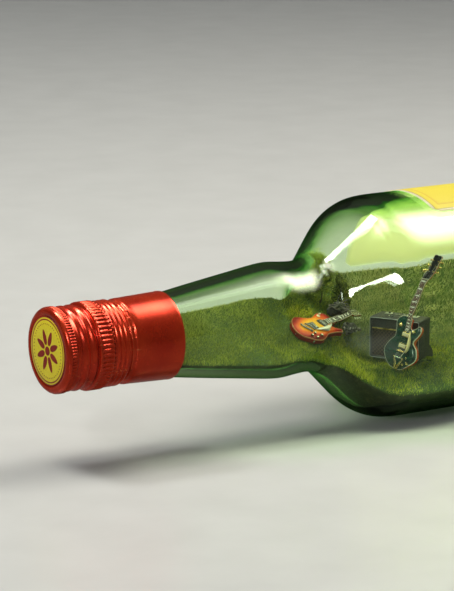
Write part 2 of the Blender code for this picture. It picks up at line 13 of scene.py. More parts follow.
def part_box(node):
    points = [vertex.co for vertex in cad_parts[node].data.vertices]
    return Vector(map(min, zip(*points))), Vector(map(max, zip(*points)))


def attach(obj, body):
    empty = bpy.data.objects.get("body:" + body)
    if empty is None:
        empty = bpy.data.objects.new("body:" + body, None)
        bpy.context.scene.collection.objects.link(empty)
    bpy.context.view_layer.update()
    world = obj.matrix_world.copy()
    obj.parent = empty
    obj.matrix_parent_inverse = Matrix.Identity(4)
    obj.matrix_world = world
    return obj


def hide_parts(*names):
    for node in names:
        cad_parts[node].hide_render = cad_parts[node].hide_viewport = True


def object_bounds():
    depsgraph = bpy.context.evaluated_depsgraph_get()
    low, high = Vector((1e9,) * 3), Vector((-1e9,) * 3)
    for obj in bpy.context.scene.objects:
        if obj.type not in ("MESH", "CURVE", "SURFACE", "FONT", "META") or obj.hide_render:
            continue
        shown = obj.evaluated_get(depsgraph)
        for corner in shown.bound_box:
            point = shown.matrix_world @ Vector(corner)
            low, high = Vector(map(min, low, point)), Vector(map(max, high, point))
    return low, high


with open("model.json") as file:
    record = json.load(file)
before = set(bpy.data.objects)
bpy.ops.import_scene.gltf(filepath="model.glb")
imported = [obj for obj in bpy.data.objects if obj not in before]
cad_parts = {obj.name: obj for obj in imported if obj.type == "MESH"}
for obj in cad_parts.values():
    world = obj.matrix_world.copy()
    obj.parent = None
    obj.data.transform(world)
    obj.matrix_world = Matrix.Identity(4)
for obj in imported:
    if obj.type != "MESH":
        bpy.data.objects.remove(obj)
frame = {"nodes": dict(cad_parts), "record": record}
CAD_LOW, CAD_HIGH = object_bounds()

MM = 0.001
TURN = 2.0 * pi
UP = Vector((0.0, 0.0, 1.0))
UPRIGHT = Matrix.Identity(3)
SIDEWAYS = Matrix(((1, 0, 0), (0, 0, 1), (0, 1, 0)))

# Bottle, in mm along and round its axis, from the top of the cap
LENGTH = (CAD_HIGH.x - CAD_LOW.x) / MM
BODY_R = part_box("bottle_glass")[1].y / MM
WALL = 2.7
MOUTH_AT = 2.6
THREAD_PITCH = 3.2
THREAD_ZONE = (5.2, 11.2)
CAP_END = 23.4
SLEEVE = (25.6, 43.3)
COLLAR_AT = 24.1
BADGE_R = 11.3
LABEL_AT = (140.5, 248.0)
LABEL_ARC = (27.0, -81.0)
LABEL_MARGIN = 12.0

# Amplifier, in mm: across its front, front to back, and up
AMP_SIZE = (20.4, 9.4, 15.0)
AMP_WALL = 0.9
AMP_LIFT = 0.45
AMP_FOOT = (1.6, 1.4, 0.0)
LATTICE_PITCH = 1.35

# Guitars, full size in mm: x from the tail to the head, y to the bass side, z out of the top
BURST_SCALE = 1.0 / 23.8
JET_SCALE = 1.0 / 24.0
TOP_Z = 56.0
BODY_DEEP = 47.0
BODY_LONG = 444.0
BRIDGE_X = 150.0
FIT = 0.9
DECK = TOP_Z + FIT
BOARD_LOW = DECK + FIT
BOARD_HIGH = BOARD_LOW + 6.0
HEAD_SLOPE = tan(radians(11))
FRETS = 22
MARKED_FRETS = (1, 3, 5, 7, 9, 12, 15, 17, 19, 21)
BURST_KNOBS = ((64.0, -84.0), (98.0, -122.0), (118.0, -74.0), (152.0, -112.0))
JET_KNOBS = ((52.0, -60.0), (70.0, -112.0), (112.0, -84.0), (340.0, -86.0))
STOP_BAR_X = 108.0
ROLLER_X = 96.0

# Camera, in degrees, metres, and mm for the lens
CAMERA_YAW = 32.16
CAMERA_PITCH = 12.2
CAMERA_AIM = Vector((-0.0650, 0.0186, 0.0442))
CAMERA_FAR = 1.030
CAMERA_LENS = 184.3
CAMERA_SENSOR = 36.0


# Placing


def row(at, y, z):
    """A point in metres, from its station and its offsets in mm from the bottle's axis."""
    return Vector((at - LENGTH / 2, y, z + BODY_R)) * MM


def joint(name):
    return next(j for j in frame["record"]["behaviour"]["joints"] if j["name"] == name)


def axes(x, y, z):
    return Matrix((x, y, z)).transposed().to_4x4()


def guitar_place(prefix, knob_at, scale):
    """A guitar's own frame in mm, from where the record has its first knob and its selector's axis."""
    knob = joint(f"{prefix}_knob_1_turn")
    out = Vector(knob["axis"]).normalized()
    side = Vector(joint(f"{prefix}_selector_tilt")["axis"]).normalized()
    foot = Matrix.Translation(-Vector((*knob_at, DECK)))
    turn = axes(side.cross(out), side, out)
    return Matrix.Translation(knob["pos_m"]) @ turn @ Matrix.Scale(scale * MM, 4) @ foot


def amp_place():
    """The amplifier's own frame in mm, from its feet's boxes: x across its front, y back, z up."""
    feet = [sum(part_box(f"amp_foot_{i}"), Vector()) / 2 for i in (1, 2)]
    across = feet[1] - feet[0]
    across.z = 0.0
    across.normalize()
    base = Vector((feet[0].x, feet[0].y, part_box("amp_foot_1")[0].z))
    turn = axes(across, UP.cross(across), UP)
    return Matrix.Translation(base) @ turn @ Matrix.Scale(MM, 4) @ Matrix.Translation(-Vector(AMP_FOOT))


# Mesh helpers


def piece(name, bm, look, slot, body="bottle", place=None, smooth=True, bevel=0.0, cover=()):
    """Makes a piece from a bmesh: its finish, the body it rides on, the CAD nodes it stands for. The slot is
    not used.
    """
    bmesh.ops.recalc_face_normals(bm, faces=bm.faces)
    for face in bm.faces:
        face.smooth = smooth
    mesh = bpy.data.meshes.new(name)
    bm.to_mesh(mesh)
    bm.free()
    obj = bpy.data.objects.new(name, mesh)
    bpy.context.scene.collection.objects.link(obj)
    if place is not None:
        obj.matrix_world = place
    if bevel:
        edge = obj.modifiers.new("edges", "BEVEL")
        edge.width = bevel
        edge.segments = 2
        edge.limit_method = "ANGLE"
        edge.angle_limit = radians(35)
        edge.harden_normals = False
    for one in look if isinstance(look, list) else [look]:
        mesh.materials.append(one)
    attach(obj, body)
    if cover:
        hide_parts(*cover)
    return obj


def adder(prefix, place, looks):
    """A function that adds a group's pieces in its own frame; node is the CAD node a piece stands for."""

    def add(name, bm, look, slot, node=None, **extra):
        cover = [f"{prefix}_{node}"] if node else []
        finishes = [looks[word] for word in look.split()]
        piece(f"{prefix}_{name}", bm, finishes, slot, place=place, cover=cover, **extra)

    return add


def skin(bm, rings, wrap=False, slot=0):
    """Faces between rings of points, closed by a face at each end, or by joining last ring to first."""
    rows = [[bm.verts.new(point) for point in ring] for ring in rings]
    count = len(rows[0])
    pairs = list(zip(rows, rows[1:]))
    if wrap:
        pairs.append((rows[-1], rows[0]))
    for low, high in pairs:
        for i in range(count):
            j = (i + 1) % count
            bm.faces.new((low[i], low[j], high[j], high[i])).material_index = slot
    if not wrap:
        bm.faces.new(rows[0]).material_index = slot
        bm.faces.new(rows[-1]).material_index = slot
    return bm


def rings_x(profile, segments):
    """Rings round the bottle's axis, from (station, radius); a radius may be a function of the angle."""
    rings = []
    for at, radius in profile:
        ring = []
        for i in range(segments):
            turn = TURN * i / segments
            r = radius(turn) if callable(radius) else radius
            ring.append(row(at, r * sin(turn), r * cos(turn)))
        rings.append(ring)
    return rings


def oval(centre, first, second, count, ripple=None):
    """Points round a centre. first and second are its half axes, and ripple(turn) scales both."""
    centre, first, second = Vector(centre), Vector(first), Vector(second)
    ring = []
    for i in range(count):
        turn = TURN * i / count
        r = ripple(turn) if ripple else 1.0
        ring.append(centre + first * (r * cos(turn)) + second * (r * sin(turn)))
    return ring


def turned(bm, centre, profile, segments, slot=0, ripple=None, spin=UPRIGHT, wrap=False):
    """A turned shape standing on centre, from (height, radius) points; spin turns it off the z axis."""
    rings = []
    for height, r in profile:
        spot = Vector(centre) + spin @ Vector((0, 0, height))
        rings.append(oval(spot, spin @ Vector((r, 0, 0)), spin @ Vector((0, r, 0)), segments, ripple))
    return skin(bm, rings, wrap, slot)


def tube(bm, path, radius, segments=8, closed=False):
    """A round bar along a path. radius is a number or a function of the fraction along it."""
    count = len(path)
    rings = []
    normal = None
    for i, point in enumerate(path):
        if closed:
            along = path[(i + 1) % count] - path[i - 1]
        else:
            along = path[min(i + 1, count - 1)] - path[max(i - 1, 0)]
        along.normalize()
        if normal is None:
            normal = along.orthogonal().normalized()
        normal = (normal - along * normal.dot(along)).normalized()
        r = radius(i / max(1, count - 1)) if callable(radius) else radius
        rings.append(oval(point, normal * r, along.cross(normal) * r, segments))
    return skin(bm, rings, closed)


def box(bm, low, high, slot=0):
    (x0, y0, z0), (x1, y1, z1) = low, high
    return skin(bm, [[(x0, y0, z), (x1, y0, z), (x1, y1, z), (x0, y1, z)] for z in (z0, z1)], slot=slot)


def flat(outline, z):
    return [(x, y, z) for x, y in outline]


def rounded(x0, y0, x1, y1, radius, per=4):
    """A rectangle with round corners, per steps to a corner."""
    outline = []
    left, right, near, far = x0 + radius, x1 - radius, y0 + radius, y1 - radius
    for quarter, (x, y) in enumerate(((right, far), (left, far), (left, near), (right, near))):
        for k in range(per + 1):
            turn = radians(90 * quarter + 90 * k / per)
            outline.append((x + radius * cos(turn), y + radius * sin(turn)))
    return outline


def ease(low, high, value):
    t = min(1.0, max(0.0, (value - low) / (high - low)))
    return t * t * (3.0 - 2.0 * t)


def steps(low, high, count):
    return [low + (high - low) * i / count for i in range(count + 1)]


def spline(points, per, closed=False):
    """A smooth curve through the points, per steps between each two."""
    count = len(points)
    curve = []
    for i in range(count if closed else count - 1):
        near = [(i + k) % count if closed else min(count - 1, max(0, i + k)) for k in (-1, 0, 1, 2)]
        a, b, c, d = (Vector(points[k]) for k in near)
        for step in range(per):
            t = step / per
            square = (2 * a - 5 * b + 4 * c - d) * t**2
            cube = (3 * b - a - 3 * c + d) * t**3
            curve.append(0.5 * (2 * b + (c - a) * t + square + cube))
    if not closed:
        curve.append(Vector(points[-1]))
    return curve


def flat_spline(points, per, closed=False):
    return [(p.x, p.y) for p in spline(points, per, closed)]


# Materials


class Graph:
    """A small wrapper that builds a material from nodes, or adds nodes to a tree that's there already."""

    def __init__(self, name="", tree=None):
        self.tree = tree
        if tree is None:
            self.mat = bpy.data.materials.new(name)
            self.mat.use_nodes = True
            self.tree = self.mat.node_tree
            self.tree.nodes.clear()
            self.out = self.tree.nodes.new("ShaderNodeOutputMaterial")

    def set(self, socket, value):
        if isinstance(value, bpy.types.NodeSocket):
            self.tree.links.new(value, socket)
        elif isinstance(value, (tuple, list)) and socket.type == "RGBA" and len(value) == 3:
            socket.default_value = (*value, 1.0)
        else:
            socket.default_value = value

    def node(self, kind, settings=None, **inputs):
        made = self.tree.nodes.new("ShaderNode" + kind)
        for key, value in (settings or {}).items():
            setattr(made, key, value)
        for key, value in inputs.items():
            self.set(made.inputs[key.replace("_", " ")], value)
        return made

    def coords(self, scale=(1.0, 1.0, 1.0)):
        where = self.node("TexCoord").outputs["Object"]
        return self.node("Mapping", Vector=where, Scale=scale).outputs["Vector"]

    def split(self, vector=None):
        vector = vector or self.node("TexCoord").outputs["Object"]
        return self.node("SeparateXYZ", Vector=vector).outputs

    def off_axis(self):
        """x along the bottle's axis, y and z from it, and the distance from it, in metres."""
        x, y, z = self.split()
        z = self.sub(z, BODY_R * MM)
        return x, y, z, self.length(y, z)

    def noise(self, scale, detail=3.0, rough=0.5, vector=None):
        made = self.node("TexNoise", Scale=scale, Detail=detail, Roughness=rough)
        self.set(made.inputs["Vector"], vector or self.coords())
        return made.outputs["Fac"]

    def ramp(self, fac, *stops, mode="LINEAR"):
        made = self.node("ValToRGB")
        made.color_ramp.interpolation = mode
        made.color_ramp.elements[0].position = stops[0][0]
        made.color_ramp.elements[1].position = stops[-1][0]
        for at, _ in stops[1:-1]:
            made.color_ramp.elements.new(at)
        for element, (_, colour) in zip(made.color_ramp.elements, stops):
            if isinstance(colour, (int, float)):
                colour = (colour,) * 3
            element.color = (*colour, 1.0)
        self.set(made.inputs["Fac"], fac)
        return made.outputs["Color"]

    def span(self, value, low, high):
        """A smooth step from 0 at low to 1 at high."""
        smooth = {"interpolation_type": "SMOOTHSTEP"}
        return self.node("MapRange", smooth, Value=value, From_Min=low, From_Max=high).outputs[0]

    def mix(self, fac, a, b, blend="MIX"):
        made = self.node("Mix", {"data_type": "RGBA", "blend_type": blend})
        for i, value in ((0, fac), (6, a), (7, b)):
            self.set(made.inputs[i], value)
        return made.outputs[2]

    def math(self, kind, *values):
        made = self.node("Math", {"operation": kind})
        for socket, value in zip(made.inputs, (*values, 0.0, 0.0)):
            self.set(socket, value)
        return made.outputs[0]

    def add(self, a, b):
        return self.math("ADD", a, b)

    def sub(self, a, b):
        return self.math("SUBTRACT", a, b)

    def mul(self, a, b):
        return self.math("MULTIPLY", a, b)

    def length(self, a, b):
        return self.math("SQRT", self.add(self.mul(a, a), self.mul(b, b)))

    def bump(self, height, distance, strength=1.0):
        return self.node("Bump", Strength=strength, Distance=distance, Height=height).outputs["Normal"]

    def shader_mix(self, fac, a, b):
        made = self.node("MixShader")
        for socket, value in zip(made.inputs, (fac, a, b)):
            self.set(socket, value)
        return made.outputs[0]

    def shader(self, kind, **inputs):
        return self.node("Bsdf" + kind, **inputs).outputs[0]

    def surface(self, shader):
        self.tree.links.new(shader, self.out.inputs["Surface"])
        return self.mat

    def finish(self, **inputs):
        return self.surface(self.shader("Principled", **inputs))


def tones(colour, spread):
    """A colour's darker and lighter neighbour."""
    return tuple(c * (1.0 - spread) for c in colour), tuple(min(1.0, c * (1.0 + spread)) for c in colour)


def worn_material(name, colour, rough, scale):
    """A finish with fine colour and roughness variation and light relief. The scale is per metre."""
    g = Graph(name)
    fine = g.noise(scale * 2.0, 3.0, 0.6)
    dark, light = tones(colour, 0.12)
    shade = g.ramp(g.noise(scale * 0.25, 4.0), (0.3, dark), (0.7, light))
    dull = g.ramp(fine, (0.3, rough * 0.8), (0.75, rough * 1.25))
    return g.finish(Base_Color=shade, Roughness=dull, Normal=g.bump(fine, 0.00002), Coat_Roughness=0.05)


def glass_material():
    """Green glass: refracting for the camera, and tinted clear for shadow rays so the inside is lit."""
    g = Graph("green_glass")
    facing = g.node("LayerWeight", Blend=0.35).outputs["Facing"]
    ripple = g.bump(g.noise(260.0, 2.0, 0.5), 0.00012, 0.09)
    tint = g.ramp(
        facing,
        (0.0, (0.95, 1.0, 0.92)),
        (0.30, (0.91, 0.985, 0.85)),
        (0.55, (0.62, 0.88, 0.46)),
        (0.78, (0.14, 0.48, 0.11)),
        (1.0, (0.005, 0.11, 0.03)),
    )
    path = g.node("LightPath").outputs
    through = g.math("MAXIMUM", path["Is Shadow Ray"], path["Is Diffuse Ray"])
    glass = g.shader("Glass", Color=tint, Roughness=0.0, IOR=1.5, Normal=ripple)
    return g.surface(g.shader_mix(through, glass, g.shader("Transparent", Color=(0.95, 1.0, 0.93))))


def foil_material():
    """Red anodised foil: drawn grain round the axis, fine scratches, painted highlight on ridges, painted
    shade in hollows.
    """
    g = Graph("red_foil")
    x, y, z, _ = g.off_axis()
    grain = g.node("CombineXYZ", X=g.mul(x, 9000.0), Y=g.mul(g.math("ARCTAN2", z, y), 6.0))
    lines = g.noise(1.0, 3.0, 0.6, vector=grain.outputs[0])
    colour = g.ramp(g.noise(120.0, 4.0), (0.3, (0.70, 0.032, 0.008)), (0.7, (0.90, 0.068, 0.016)))
    point = g.node("NewGeometry").outputs["Pointiness"]
    # Painted highlight: sharp ridges, found by pointiness, turn a pale orange.
    colour = g.mix(g.ramp(point, (0.53, 0.0), (0.62, 0.8)), colour, (0.90, 0.22, 0.08))
    # Painted shade: hollows, found by pointiness, turn nearly black.
    colour = g.mix(g.ramp(point, (0.40, 1.0), (0.48, 0.0)), colour, (0.10, 0.002, 0.002))
    return g.finish(
        Base_Color=colour,
        Metallic=0.72,
        Roughness=g.ramp(lines, (0.25, 0.17), (0.75, 0.29)),
        Normal=g.bump(lines, 0.00001, 0.6),
        Coat_Weight=0.3,
        Coat_Roughness=0.2,
    )


def badge_material():
    """A printed disc: yellow ground, a dark rim line and fine print grain."""
    g = Graph("badge_yellow")
    r = g.math("DIVIDE", g.off_axis()[3], BADGE_R * MM)
    speck = g.noise(1500.0, 3.0)
    ground = g.ramp(speck, (0.3, (0.80, 0.66, 0.012)), (0.7, (0.90, 0.76, 0.025)))
    stops = ((0.0, 0.0), (0.885, 0.0), (0.895, 1.0), (0.925, 1.0), (0.935, 0.0), (0.965, 0.0), (0.975, 1.0))
    colour = g.mix(g.ramp(r, *stops), ground, (0.30, 0.02, 0.01))
    return g.finish(Base_Color=colour, Roughness=0.38, Coat_Weight=0.3, Normal=g.bump(speck, 0.00001, 0.5))


def label_material():
    """Coated paper: yellow face with a silver edge, a dark keyline and gold bands; plain white back."""
    g = Graph("label_paper")
    x, y, z, radius = g.off_axis()
    lean = g.math("ARCTAN2", g.mul(y, -1.0), z)
    middle = radians((LABEL_ARC[0] + LABEL_ARC[1]) / 2)
    half = radians(LABEL_ARC[0] - LABEL_ARC[1]) / 2
    across = g.mul(g.sub(half, g.math("ABSOLUTE", g.sub(lean, middle))), BODY_R * MM)
    start, end = ((at - LENGTH / 2) * MM for at in LABEL_AT)
    along = g.math("MINIMUM", g.sub(x, start), g.sub(end, x))
    edge = g.mul(g.math("MINIMUM", across, along), 1.0 / (LABEL_MARGIN * MM))
    fibre = g.noise(2200.0, 4.0, 0.7)
    yellow = g.ramp(fibre, (0.3, (0.78, 0.62, 0.035)), (0.7, (0.88, 0.74, 0.075)))
    keyline = g.ramp(edge, (0.0, 0.0), (0.08, 1.0), mode="CONSTANT")
    rim = g.mix(keyline, (0.80, 0.80, 0.77), (0.10, 0.06, 0.03))
    colour = g.mix(g.ramp(edge, (0.0, 1.0), (0.105, 0.0), mode="CONSTANT"), yellow, rim)
    bands = g.ramp(edge, (0.0, 0.0), (0.30, 1.0), (0.335, 0.0), (0.36, 1.0), (0.375, 0.0), mode="CONSTANT")
    colour = g.mix(bands, colour, (0.62, 0.30, 0.02))
    back = g.math("LESS_THAN", radius, (BODY_R + 0.12) * MM)
    colour = g.mix(back, colour, (0.97, 0.98, 0.95))
    relief = g.bump(fibre, 0.00001, 0.5)
    paper = g.shader("Principled", Base_Color=colour, Roughness=0.45, Normal=relief, Coat_Weight=0.15)
    glow = g.shader("Translucent", Color=g.mix(back, (0.94, 0.84, 0.26), (0.97, 0.98, 0.94)))
    both = g.shader_mix(g.math("MULTIPLY_ADD", back, 0.15, 0.5), paper, glow)
    shadow = g.mul(g.node("LightPath").outputs["Is Shadow Ray"], 0.75)
    return g.surface(g.shader_mix(shadow, both, g.shader("Transparent", Color=(1.0, 0.99, 0.93))))


def turf_material():
    """Soil and moss under the blades, painted paler and mossier towards the back, where it lies in shade."""
    g = Graph("turf")
    coarse = g.noise(160.0, 5.0, 0.6)
    fine = g.noise(2600.0, 4.0, 0.7)
    greens = ((0.3, (0.022, 0.050, 0.008)), (0.55, (0.060, 0.105, 0.014)), (0.75, (0.13, 0.15, 0.03)))
    green = g.ramp(coarse, *greens)
    up = g.split(g.node("NewGeometry").outputs["Normal"])[2]
    side = g.ramp(up, (0.0, 1.0), (0.35, 0.0))
    earth = ((0.3, (0.016, 0.014, 0.008)), (0.55, (0.038, 0.030, 0.016)), (0.72, (0.10, 0.080, 0.045)))
    soil = g.ramp(g.noise(420.0, 5.0, 0.7), *earth)
    moss_painted_paler = ((0.32, (0.040, 0.034, 0.016)), (0.5, (0.075, 0.085, 0.030)), (0.72, (0.17, 0.20, 0.060)))
    moss = g.ramp(coarse, *moss_painted_paler)
    # Painted light: the soil blends to paler moss towards the back, lifting the shaded back side.
    soil = g.mix(g.span(g.split()[1], -0.004, 0.010), soil, moss)
    return g.finish(Base_Color=g.mix(side, green, soil), Roughness=0.9, Normal=g.bump(fine, 0.0003, 0.8))


def blade_material(name, dark, mid, light, meadow=False, through=0.35):
    """Leaves and blades: each its own green in broader patches, lit through from behind.

    A meadow also has painted sun and shade in broad patches, a painted pale glow towards the neck, stronger
    higher up, and a misty olive in drifts towards the base, painted haze that lifts the shaded far grass.
    """
    g = Graph(name)
    each = g.node("NewGeometry").outputs["Random Per Island"]
    shade = g.add(g.mul(each, 0.35), g.mul(g.noise(150.0, 4.0, 0.65), 0.65))
    colour = g.ramp(shade, (0.36, dark), (0.5, mid), (0.64, light))
    if meadow:
        x, y, z = g.split()
        # Painted sun and shade: broad patches of the meadow are lightened and darkened.
        patches = ((0.38, (0.48, 0.54, 0.40)), (0.52, (1.0, 1.0, 0.9)), (0.64, (1.5, 1.35, 1.05)))
        colour = g.mix(1.0, colour, g.ramp(g.noise(55.0, 3.0, 0.55), *patches), "MULTIPLY")
        # Painted haze: the far grass towards the base and back turns a pale misty olive, in drifts, lifted
        # against the label's shade.
        drift = g.noise(1.0, 4.0, 0.6, vector=g.coords((14.0, 60.0, 520.0)))
        olive = g.ramp(drift, (0.35, (0.36, 0.37, 0.16)), (0.65, (0.80, 0.78, 0.40)))
        away = g.mul(g.span(y, -0.002, 0.014), g.span(x, -0.024, -0.012))
        colour = g.mix(g.mul(away, 0.9), colour, olive)
        # Painted glow: towards the neck the blades turn pale, more so higher up, as sunlit haze.
        high = g.math("MULTIPLY_ADD", z, 60.0, -1.75)
        painted_neck_glow = g.mul(g.span(x, -0.038, -0.075), g.ramp(high, (0.0, 0.35), (1.0, 0.9)))
        colour = g.mix(painted_neck_glow, colour, g.mix(each, (0.36, 0.46, 0.05), (0.86, 0.86, 0.34)))
    leaf = g.shader("Principled", Base_Color=colour, Roughness=0.55)
    return g.surface(g.shader_mix(through, leaf, g.shader("Translucent", Color=colour)))


def rock_material(name, dark, light):
    g = Graph(name)
    fine = g.noise(3200.0, 4.0, 0.7)
    colour = g.ramp(g.noise(500.0, 6.0, 0.65), (0.3, dark), (0.7, light))
    moss = g.ramp(g.noise(260.0, 3.0), (0.56, 0.0), (0.68, 0.6))
    colour = g.mix(moss, colour, (0.05, 0.08, 0.02))
    return g.finish(Base_Color=colour, Roughness=0.85, Normal=g.bump(fine, 0.0002, 0.7))


def covering_material():
    """The amplifier's black grained covering."""
    g = Graph("black_covering")
    cells = g.node("TexVoronoi", Scale=2600.0, Vector=g.coords()).outputs["Distance"]
    height = g.bump(g.add(cells, g.mul(g.noise(5200.0, 3.0), 0.5)), 0.00006, 0.8)
    colour = g.ramp(g.noise(300.0, 3.0), (0.3, (0.012, 0.013, 0.014)), (0.75, (0.030, 0.032, 0.033)))
    return g.finish(Base_Color=colour, Roughness=0.5, Specular_IOR_Level=0.3, Normal=height)


def grille_material():
    """Brown cloth with a diamond lattice of paler threads, in the amplifier's own mm frame."""
    g = Graph("grille_cloth")
    x, _, z = g.split()
    lines = []
    for diagonal in (g.add(x, z), g.sub(x, z)):
        part = g.math("FRACT", g.mul(diagonal, 1.0 / LATTICE_PITCH))
        lines.append(g.ramp(g.math("ABSOLUTE", g.sub(part, 0.5)), (0.36, 0.0), (0.42, 1.0)))
    lattice = g.mix(1.0, lines[0], lines[1], "LIGHTEN")
    weave = g.mul(g.math("SINE", g.mul(x, 42.0)), g.math("SINE", g.mul(z, 42.0)))
    base = g.ramp(weave, (0.2, (0.008, 0.005, 0.003)), (0.8, (0.022, 0.014, 0.008)))
    colour = g.mix(g.mul(lattice, 0.9), base, (0.115, 0.082, 0.042))
    relief = g.bump(weave, 0.00002, 0.6)
    return g.finish(Base_Color=colour, Roughness=0.85, Specular_IOR_Level=0.1, Normal=relief)


def burst_material():
    """Flamed top under gloss: amber in the middle, through orange to red at the rim."""
    g = Graph("burst_finish")
    x, y, z = g.split()
    along = g.math("DIVIDE", g.sub(x, 205.0), 225.0)
    pinch = g.sub(1.0, g.mul(0.22, g.math("SINE", g.mul(x, 0.0122))))
    across = g.math("DIVIDE", y, g.mul(pinch, 158.0))
    r = g.add(g.length(along, across), g.mul(g.sub(g.noise(0.012, 3.0), 0.5), 0.18))
    flame = g.noise(0.030, 3.0, 0.6, vector=g.coords((2.6, 0.25, 1.0)))
    colour = g.ramp(
        r,
        (0.0, (0.90, 0.58, 0.02)),
        (0.46, (0.86, 0.40, 0.008)),
        (0.68, (0.70, 0.11, 0.003)),
        (0.86, (0.42, 0.014, 0.002)),
        (1.0, (0.18, 0.004, 0.002)),
    )
    colour = g.mix(g.ramp(flame, (0.35, 0.0), (0.65, 0.35)), colour, (0.95, 0.62, 0.12), "MULTIPLY")
    colour = g.mix(g.math("LESS_THAN", z, BODY_DEEP - 1.0), colour, (0.22, 0.012, 0.008))
    return g.finish(
        Base_Color=colour,
        Roughness=0.42,
        Specular_IOR_Level=0.1,
        Coat_Weight=0.06,
        Coat_Roughness=0.10,
        Normal=g.bump(flame, 0.000004, 0.3),
    )


def jet_material():
    """Dark green over figured wood, with a red-stained back and sides."""
    g = Graph("green_finish")
    z = g.split()[2]
    flame = g.noise(0.05, 4.0, 0.6, vector=g.coords((1.0, 0.3, 1.0)))
    broad = g.noise(0.008, 3.0)
    greens = ((0.3, (0.001, 0.012, 0.008)), (0.55, (0.002, 0.030, 0.019)), (0.75, (0.006, 0.062, 0.040)))
    colour = g.mix(g.ramp(broad, (0.4, 0.0), (0.7, 0.45)), g.ramp(flame, *greens), (0.006, 0.052, 0.036))
    colour = g.mix(g.math("LESS_THAN", z, BODY_DEEP - 1.0), colour, (0.55, 0.055, 0.018))
    return g.finish(Base_Color=colour, Roughness=0.22, Coat_Weight=0.4, Coat_Roughness=0.06)


def wood_material(name, dark, light, rough, coat=0.0):
    """Wood with its grain along x, in a guitar's own mm frame."""
    g = Graph(name)
    stretch = g.coords((0.12, 1.0, 1.0))
    colour = g.ramp(g.noise(0.35, 5.0, 0.65, vector=stretch), (0.3, dark), (0.72, light))
    pores = g.bump(g.noise(1.6, 3.0, 0.6, vector=stretch), 0.000004, 0.5)
    return g.finish(Base_Color=colour, Roughness=rough, Coat_Weight=coat, Normal=pores)


def metal_material(name, colour, rough):
    """Plated metal with small marks, in a group's own mm frame."""
    g = Graph(name)
    dull = g.ramp(g.noise(0.3, 4.0, 0.6), (0.3, rough * 0.7), (0.75, rough * 1.5))
    tone = g.ramp(g.noise(0.05, 3.0), (0.3, tones(colour, 0.15)[0]), (0.7, colour))
    return g.finish(Base_Color=tone, Metallic=1.0, Roughness=dull)


def plain_material(name, colour, rough, spread=0.1, scale=0.2, coat=0.0):
    """Moulded plastic or leather, slightly mottled, in a group's own mm frame."""
    g = Graph(name)
    mottle = g.noise(scale, 4.0, 0.6)
    dark, light = tones(colour, spread)
    dull = g.ramp(mottle, (0.3, rough * 0.8), (0.7, rough * 1.2))
    return g.finish(Base_Color=g.ramp(mottle, (0.3, dark), (0.7, light)), Roughness=dull, Coat_Weight=coat)


# Bottle


GLASS_OUTER = (
    (44.0, 14.1),
    (50.0, 15.0),
    (60.0, 16.45),
    (72.0, 18.1),
    (81.0, 19.35),
    (86.0, 19.7),
    (91.0, 19.25),
    (96.0, 18.95),
    (100.0, 19.45),
    (103.0, 20.8),
    (106.5, 23.8),
    (112.0, 29.0),
    (117.5, 34.2),
    (120.5, 36.5),
    (124.0, 37.9),
    (128.0, 38.4),
    (133.0, 38.5),
)
OUTSIDE = flat_spline(GLASS_OUTER, 4)


def thread(at, turn, start, end):
    """The thread's height at a point, from 0 to 1, fading out at both ends of its zone."""
    phase = (at + THREAD_PITCH * turn / TURN) / THREAD_PITCH
    ridge = 0.5 + 0.5 * cos(TURN * phase)
    return ridge * ease(start, start + 1.2, at) * (1.0 - ease(end - 1.2, end, at))


def knurl(turn, teeth, depth):
    """Rounded teeth round a rim, as a change in radius."""
    return -depth * abs(sin(teeth * turn / 2.0)) ** 0.7


def build_glass(look):
    """The vessel, from the base's middle over the outside and the lip to the bottom inside."""
    segments = 192
    rings = rings_x(((LENGTH - 1.6, 6.0), (LENGTH - 1.6, 18.0), (LENGTH - 1.3, 24.0)), segments)
    for radius in steps(27.0, 33.0, 12):
        ring = []
        for i in range(segments):
            turn = TURN * i / segments
            notch = 0.22 * (i % 4 == 0) * (27.4 < radius < 32.6)
            ring.append(row(LENGTH - notch, radius * sin(turn), radius * cos(turn)))
        rings.append(ring)
    heel = [(LENGTH - 6 + 6 * sin(radians(a)), BODY_R - 6 + 6 * cos(radians(a))) for a in range(0, 90, 12)]
    profile = heel[::-1] + [(at, BODY_R) for at in (250.0, 200.0, 160.0)] + OUTSIDE[::-1]
    profile += [(34.0, 13.5), (26.0, 13.3), (24.6, 12.9), (14.0, 12.7), (12.6, 12.3)]
    for at in steps(THREAD_ZONE[1], THREAD_ZONE[0], 24):
        profile.append((at, lambda t, at=at: 12.2 + 0.6 * thread(at, t, *THREAD_ZONE)))
    profile += [(4.0, 12.2), (3.2, 12.05), (2.75, 11.7), (MOUTH_AT, 11.1), (MOUTH_AT, 10.3)]
    profile += [(2.8, 9.95), (4.0, 9.6), (30.0, 9.8)] + [(at, r - WALL) for at, r in OUTSIDE]
    deep = [(160.0, 0), (200.0, 0), (250.0, 0), (LENGTH - 12, 0)]
    deep += [(LENGTH - 9, 0.8), (LENGTH - 7, 3.2), (LENGTH - 5.8, 8.0)]
    profile += [(at, BODY_R - WALL - shrink) for at, shrink in deep] + [(LENGTH - 5.6, 6.0)]
    bm = skin(bmesh.new(), rings + rings_x(profile, segments))
    piece("glass_vessel", bm, look, "green_glass", cover=["bottle_glass"])


